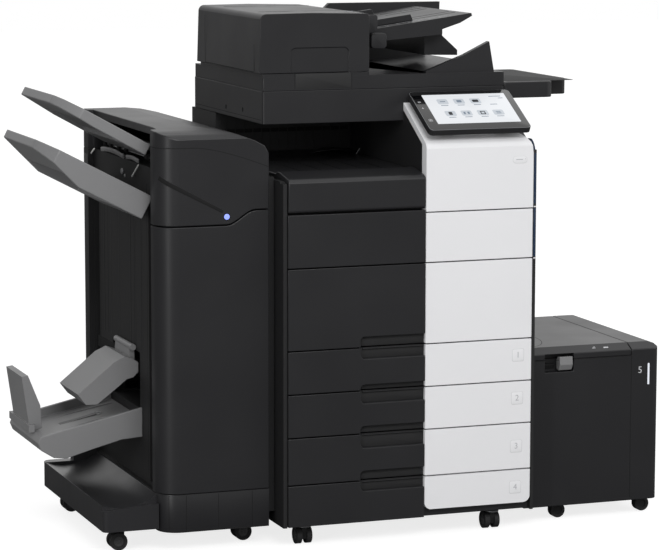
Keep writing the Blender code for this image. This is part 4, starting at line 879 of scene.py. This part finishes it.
# %% Hubs and swivel races
HUB = [(11.6, -2.0), (11.6, -0.9), (9.2, -0.5), (7.6, -1.2), (4.6, -1.0), (4.2, 0.1), (3.2, 0.3)]
for node in [n for n in BODY_OF if n.endswith("_wheel")]:
    wheel = span(node)
    middle = np.array([(wheel.x0 + wheel.x1) / 2, (wheel.y0 + wheel.y1) / 2, 0.020])
    if node.startswith("finisher"):
        sides = (((wheel.y1 - wheel.y0) / 2, (0, 1, 0), BACK),
                 ((wheel.y1 - wheel.y0) / 2, (0, -1, 0), FRONT))
    else:
        sides = (((wheel.x1 - wheel.x0) / 2, (1, 0, 0), RIGHT),
                 ((wheel.x1 - wheel.x0) / 2, (-1, 0, 0), LEFT))
    build(f"{node}_hubs",
          [put(turned(HUB), middle + np.array(way) * reach, face) for reach, way, face in sides], nylon,
          BODY_OF[node])
for node in [n for n in BODY_OF if n.endswith("_fork")]:
    fork = span(node)
    x, y = (fork.x0 + fork.x1) / 2, (fork.y0 + fork.y1) / 2
    along_x = node.startswith("finisher")
    centre = np.array((fork.x1 - 0.016, y, fork.z1) if along_x else (x, fork.y0 + 0.016, fork.z1))
    cap = turned([(15.6, -5.4), (16.4, -4.8), (16.4, -2.2), (14.0, -1.0)])
    build(f"{node}_race", [put(cap, centre, TOP)], zinc, BODY_OF[node])
for node in ("side_left_wheels", "side_right_wheels"):
    wheel = span(node)
    x = (wheel.x0 + wheel.x1) / 2
    front = np.array([x, wheel.y0, 0.0177])
    build(f"{node}_hub",
          [put(turned([(9.8, -2.0), (9.8, -0.8), (7.4, -0.4), (3.6, -0.8), (2.8, 0.0)]),
               front + [0, 0.0042, 0], FRONT)], nylon, BODY_OF[node])
print("casters dressed")

# %% [markdown]
# ## Right side of the main unit
# The right door has a release handle above the bypass tray, and behind it a slit for the sheets that the
# tray feeds. Behind the door the frame carries louvres, a plate of sockets and the power inlet. A louvre
# is a row of narrow dark slots, each with a lip that keeps drips out. Real slots are cut through, and
# the shade behind them is all that shows, so a dark plate paints that shade for each. The handle's pull,
# the slit, the sockets and the inlet's pins are such dark plates of painted shade too.

# %% Handle, louvres and sockets
SIDE_X = 613.0


def louvres(name, places, wide, tall, face, body):
    """Dark slots of painted shade with a rounded lip above each, centred on the given points of a face.
    """
    up = np.array(face[1], float)
    slots = [put(pad(wide, tall, 0.15, min(wide, tall) * 0.45, 0.05), place, face) for place in places]
    lips = [put(pad(wide + 1.6, 1.2, 0.3, 0.5, 0.1), place + up * (tall / 2 + 0.6) * MM, face)
            for place in places]
    build(name, slots, seam_dark_and_slot_shade, body)
    build(f"{name}_lips", lips, charcoal, body)


def screws(name, places, face, body, size=3.2):
    """Pan heads of radius size with a cross recess drawn as two thin dark bars of painted shade."""
    heads = [put(turned([(size, -0.2), (size, 0.05), (size * 0.8, 0.22), (size * 0.4, 0.28)], 16),
                 place, face) for place in places]
    build(name, heads, zinc, body)
    bars = [put(pad(a, b, 0.32, 0.2, 0.05), place, face) for place in places
            for a, b in ((size * 1.1, size * 0.26), (size * 0.26, size * 1.1))]
    build(f"{name}_recesses", bars, seam_dark_and_slot_shade, body)


louvres("side_louvres", [spot(SIDE_X, 644, z) for z in np.arange(560, 800, 9.0)], 52, 3.4, RIGHT,
        "main_unit")
louvres("lower_louvres", [spot(SIDE_X, 640, z) for z in np.arange(300, 402, 9.0)], 44, 3.4, RIGHT,
        "main_unit")
screws("side_screws", [spot(SIDE_X, y, z) for y in (618, 674) for z in (70, 480, 820, 940)], RIGHT,
       "main_unit")
build("door_handle", [plate((SIDE_X, 350, 806), 118, 24, 0.9, 8, 0.6, RIGHT)], charcoal, "side_door")
build("door_handle_pull", [plate((SIDE_X, 350, 802), 100, 9, 1.2, 4, 0.4, RIGHT)], seam_dark_and_slot_shade, "side_door")
build("door_lines", [line((SIDE_X, 112, z), (SIDE_X, 588, z), 1.2, 0.3, (1, 0, 0)) for z in (548, 816)],
      seam_dark_and_slot_shade, "side_door")
build("bypass_slit", [plate((SIDE_X, 350, 580), 300, 5, 0.15, 2, 0.05, RIGHT)], seam_dark_and_slot_shade, "side_door")
marks = [line((617.0, y, 741), (617.0, y, 749), 0.9, 0.25, (1, 0, 0)) for y in range(240, 461, 44)]
marks.append(plate((617.0, 350, 736), 230, 1.0, 0.2, 0.4, 0.05, RIGHT))
build("bypass_marks", marks, ink, "bypass")
build("bypass_ribs",
      [plate((617.0, y, 650), 2.4, 120, 0.5, 1, 0.3, RIGHT) for y in (215, 260, 440, 485)], charcoal,
      "bypass")
build("socket_plate", [plate((SIDE_X, 645, 880), 36, 62, 0.5, 3, 0.3, RIGHT)], zinc, "main_unit")
build("sockets",
      [plate((SIDE_X, 645, 896), 16, 13, 0.7, 1, 0.1, RIGHT),
       plate((SIDE_X, 645, 878), 13, 6, 0.7, 1, 0.1, RIGHT),
       plate((SIDE_X, 645, 864), 13, 6, 0.7, 1, 0.1, RIGHT)], seam_dark_and_slot_shade, "main_unit")
build("power_inlet", [plate((SIDE_X, 640, 200), 30, 26, 0.9, 3, 0.4, RIGHT)], soot, "main_unit")
build("inlet_pins", [plate((SIDE_X, 640, 200), 24, 18, 1.0, 4, 0.2, RIGHT)], seam_dark_and_slot_shade, "main_unit")
build("power_switch", [plate((SIDE_X, 640, 250), 16, 26, 1.4, 3, 0.6, RIGHT)], charcoal, "main_unit")
print("right side dressed")

# %% [markdown]
# ## Back
# The scanner, the finisher and the side unit stand a few millimetres forward of the main unit's back, so
# their covers have room for screws, louvres and cable covers. The main unit's own back is the steel
# sheet whose seams and louvres are part of its finish, the louvres painted dark as their shade. Screws
# and louvres repeat, so they come from the two functions above.

# %% Covers on the backs
louvres("finisher_louvres", [spot(-140, 685, z) for z in np.arange(560, 720, 9.0)], 150, 3.4, BACK,
        "finisher")
screws("finisher_back_screws", [spot(x, 685, z) for x in (-250, -30) for z in (70, 430, 800)], BACK,
       "finisher")
seams = [plate((-140, 685, z), 224, 1.4, 0.25, 0.5, 0.1, BACK) for z in (140, 520, 736)]
seams.append(plate((-252, 685, 440), 1.4, 590, 0.25, 0.5, 0.1, BACK))
build("finisher_back_seams", seams, seam_dark_and_slot_shade, "finisher")
build("finisher_socket", [plate((-60, 685, 470), 54, 34, 1.2, 4, 0.5, BACK)], charcoal, "finisher")
build("finisher_socket_well", [plate((-60, 685, 470), 40, 20, 1.4, 3, 0.3, BACK)], seam_dark_and_slot_shade, "finisher")
build("scanner_back_cover", [plate((290, 666, 985), 230, 40, 2.4, 5, 1.2, BACK)], charcoal, "main_unit")
screws("scanner_back_screws", [spot(x, 668.4, 985) for x in (186, 394)], BACK, "main_unit")
build("feeder_cable", [knob((290, 672, 1013), [(5, -9), (5.6, -6), (5.6, 6), (5, 9)], 20, TOP)], soot,
      "main_unit")
build("feeder_back_seams", [plate((300, 662, 1048), 500, 1.4, 0.25, 0.5, 0.1, BACK)], seam_dark_and_slot_shade,
      "document_feeder")
screws("feeder_back_screws", [spot(x, 662, 1037) for x in (40, 300, 560)], BACK, "document_feeder")
louvres("feeder_louvres", [spot(170, 615, z) for z in np.arange(1090, 1130, 7.0)], 90, 2.6, BACK,
        "feeder_cover")
louvres("unit_louvres", [spot(800, 508, z) for z in np.arange(180, 260, 9.0)], 140, 3.4, BACK,
        "paper_unit")
screws("unit_back_screws", [spot(x, 508, z) for x in (640, 790, 925) for z in (60, 360)], BACK,
       "paper_unit")
build("unit_back_seams",
      [plate((785, 508, 372), 300, 1.4, 0.3, 0.5, 0.1, BACK),
       plate((700, 508, 215), 1.4, 300, 0.3, 0.5, 0.1, BACK)], seam_dark_and_slot_shade, "paper_unit")
build("unit_hinges", [plate((x, 508, 368), 44, 30, 3.0, 4, 1.2, BACK) for x in (665, 838)], charcoal,
      "paper_unit")
print("backs dressed")

# %% [markdown]
# ## Tops and underside
# The side table has a soft mat. Under the machine the base plates are folded sheet with stiffening
# beads and screws, seen only when the machine is lifted. A pressed bead is half a round bar, so a flat
# bead with strongly rounded edges stands for it.

# %% Mat, base beads and feet
table = span("work_table")
build("table_mat", [plate((694, 350, table.z1 / MM), 172, 372, 0.5, 8, 0.3, TOP)], rubber, "main_unit")
build("base_beads",
      [line((x, 130, 46.4), (x, 590, 46.4), 12, 1.4, (0, 0, -1), 0.45)
       for x in (140, 230, 330, 420, 470)], charcoal, "main_unit")
screws("base_screws", [spot(x, y, 47.0) for x in (110, 300, 480) for y in (100, 640)], UNDER,
       "main_unit", 4.0)
build("finisher_base_beads",
      [line((x, 180, 44.4), (x, 560, 44.4), 10, 1.2, (0, 0, -1), 0.45) for x in (-230, -180, -120)],
      charcoal, "finisher")
screws("finisher_base_screws", [spot(x, y, 45.0) for x in (-250, -100) for y in (170, 560)], UNDER,
       "finisher", 4.0)
build("foot_beads",
      [line((x, 175, 51.6), (x, 530, 51.6), 8, 1.0, (0, 0, -1), 0.45) for x in (-386, -310)], charcoal,
      "finisher")
build("unit_base_beads",
      [line((x, 120, 35.6), (x, 450, 35.6), 10, 1.0, (0, 0, -1), 0.45) for x in (660, 780, 860)],
      charcoal, "paper_unit")
print("table top at", round(table.z1, 4))

# %% [markdown]
# ## Behind the front doors
# Opening the doors shows ribs on their inner sides, the caps of four toner bottles in their colours and
# the drum unit with a release lever on a round boss. The four bottles differ in colour and place alone,
# so one loop makes their grips and rims.

# %% Ribs, bottle caps and release lever
for body, low, high in (("toner_door", 664.0, 738.0), ("service_door", 478.0, 612.0)):
    build(f"{body}_ribs",
          [plate((x, 18.0, (low + high) / 2), 2.2, high - low, 6.0, 0.8, 0.5, BACK)
           for x in range(60, 560, 50)], soot, body)
for tone, x in (("yellow", 100), ("magenta", 215), ("cyan", 330), ("black", 445)):
    centre = spot(x, 31.0, 688)
    build(f"bottle_grip_{tone}", [put(pad(44, 10, 2.6, 3, 0.8), centre, FRONT)], toner_look[tone],
          "main_unit")
    build(f"bottle_rim_{tone}", [put(pad(60, 60, 0.8, 10, 0.5), centre, FRONT)], soot, "main_unit")
build("drum_lever",
      [knob((150, 32, 540), [(17, 0), (17, 2.0), (14, 3.0)]),
       plate((166, 32, 540), 50, 12, 3.6, 5, 1.0)], grey, "main_unit")
build("drum_lines", [plate((300, 32, z), 400, 1.6, 0.3, 0.6, 0.1) for z in (480, 500, 590)], seam_dark_and_slot_shade,
      "main_unit")
build("drum_handle", [plate((400, 32, 545), 120, 16, 3.0, 6, 1.2)], grey, "main_unit")
print("insides dressed")

# %% [markdown]
# ## Inside the drawers and the finisher
# A paper drawer has a lift plate, two side guides and an end guide. In the finisher, behind its door,
# rubber-covered rollers feed the sheets to a stapler and a folding unit. They are plain blocks and
# rollers: the bay's walls hide all but their fronts.

# %% Lift plates, guides, rollers and stapler
for number, floor_z in ((1, 366.0), (2, 266.6), (3, 158.0), (4, 59.8)):
    body = f"drawer_{number}"
    build(f"lift_plate_{number}", [block(70, 500, 60, 440, floor_z, floor_z + 2.0, 0.6)], zinc, body)
    build(f"side_guides_{number}",
          [block(150, 340, 90, 94, floor_z + 2.2, floor_z + 48, 1.2),
           block(150, 340, 400, 404, floor_z + 2.2, floor_z + 48, 1.2),
           block(496, 500, 190, 310, floor_z + 2.2, floor_z + 48, 1.2)], grey, body)
bay = [knob((x, 470, z), [(9, 0), (10, 1.5), (10, 300), (9, 301.5)], 24)
       for x, z in ((-80, 640), (-130, 640), (-180, 560), (-120, 480))]
build("bay_rollers", bay, foam, "finisher")
build("stapler", [block(-205, -150, 130, 210, 585, 640, 4), block(-190, -165, 100, 130, 600, 625, 3)],
      grey, "finisher")
build("fold_unit", [block(-200, -70, 120, 500, 330, 372, 5)], charcoal, "finisher")
build("fold_knob", [knob((-120, 120, 350), [(15, 0), (16, 1), (16, 12), (13, 14)])], pale, "finisher")
build("bin_plate", [block(650, 855, 100, 470, 76.5, 79.0, 0.8)], zinc, "paper_unit")
build("bin_guides",
      [block(660, 664, 150, 400, 79.4, 330, 1.2), block(840, 844, 150, 400, 79.4, 330, 1.2)], grey,
      "paper_unit")
print("drawers fitted")

# %% [markdown]
# ## Floor and light
# A pale sweep and three soft boxes, as in a product studio: one high in front, a tall one on the left
# that draws the bright stripe down the finisher's rounded corner, and a weak one on the right. A real
# sweep is lit by lamps of its own; here the paper glows only as the camera sees it, so it stays white
# and its glow doesn't light the machine from below.

# %% Floor, world and lamps
def soft_light(name, place, aim, size, power):
    """A rectangular soft box at a place, aimed at a point."""
    data = bpy.data.lights.new(name, "AREA")
    data.shape, data.size, data.size_y, data.energy = "RECTANGLE", *size, power
    made = bpy.data.objects.new(name, data)
    made.location = place
    made.rotation_euler = (Vector(aim) - Vector(place)).to_track_quat("-Z", "Y").to_euler()
    bpy.context.scene.collection.objects.link(made)


bpy.ops.mesh.primitive_plane_add(size=40.0, location=(0, 0, -0.0005))
floor = bpy.context.object
floor.name = "studio_floor"
paper, tree, shader, place = start("studio paper, matt pale grey")
path = add(tree, "LightPath")
seen = reckon(tree, "MAXIMUM", path.outputs["Is Camera Ray"], path.outputs["Is Transmission Ray"])
glow = reckon(tree, "MULTIPLY", seen, 0.80)
# mirrored in the covers, the paper is as dim as the far side of a studio
tone = add(tree, "MapRange", {"Value": path.outputs["Is Glossy Ray"], "To Min": 0.42, "To Max": 0.10})
tree.links.new(tone.outputs["Result"], shader.inputs["Base Color"])
tree.links.new(glow, shader.inputs["Emission Strength"])
shader.inputs["Emission Color"].default_value = (1.0, 1.0, 1.0, 1.0)
shader.inputs["Roughness"].default_value = 0.95
shader.inputs["Specular IOR Level"].default_value = 0.1
floor.data.materials.append(paper)

world = bpy.data.worlds.new("studio")
bpy.context.scene.world = world
world.use_nodes = True
tree = world.node_tree
path = add(tree, "LightPath")
seen = reckon(tree, "MAXIMUM", path.outputs["Is Camera Ray"], path.outputs["Is Transmission Ray"])
heading = add(tree, "VectorMath", {0: tree.nodes.new("ShaderNodeTexCoord").outputs["Generated"],
                                   1: (0.75, 0.45, 0.55)}, operation="DOT_PRODUCT")
mirrored = add(tree, "MapRange", {"Value": heading.outputs["Value"], "From Min": 0.1, "From Max": 0.8,
                                  "To Min": 0.25, "To Max": 1.0})
mirrored = reckon(tree, "MULTIPLY", mirrored.outputs["Result"], path.outputs["Is Glossy Ray"])
lit = reckon(tree, "MULTIPLY", path.outputs["Is Diffuse Ray"], 0.58)
level = reckon(tree, "MAXIMUM", seen, mirrored)
level = reckon(tree, "MAXIMUM", level, lit)
tree.links.new(level, tree.nodes["Background"].inputs["Strength"])
tree.nodes["Background"].inputs["Color"].default_value = (1.0, 1.0, 1.0, 1.0)
soft_light("key", (-0.6, -4.4, 3.6), (0, 0, 0.6), (2.6, 1.8), 105)
soft_light("left strip", (-4.6, -3.9, 1.7), (-0.4, -0.2, 0.6), (0.35, 3.0), 58)
soft_light("right fill", (4.0, -2.5, 2.0), (0.3, 0, 0.6), (1.6, 1.6), 16)
print("studio ready")
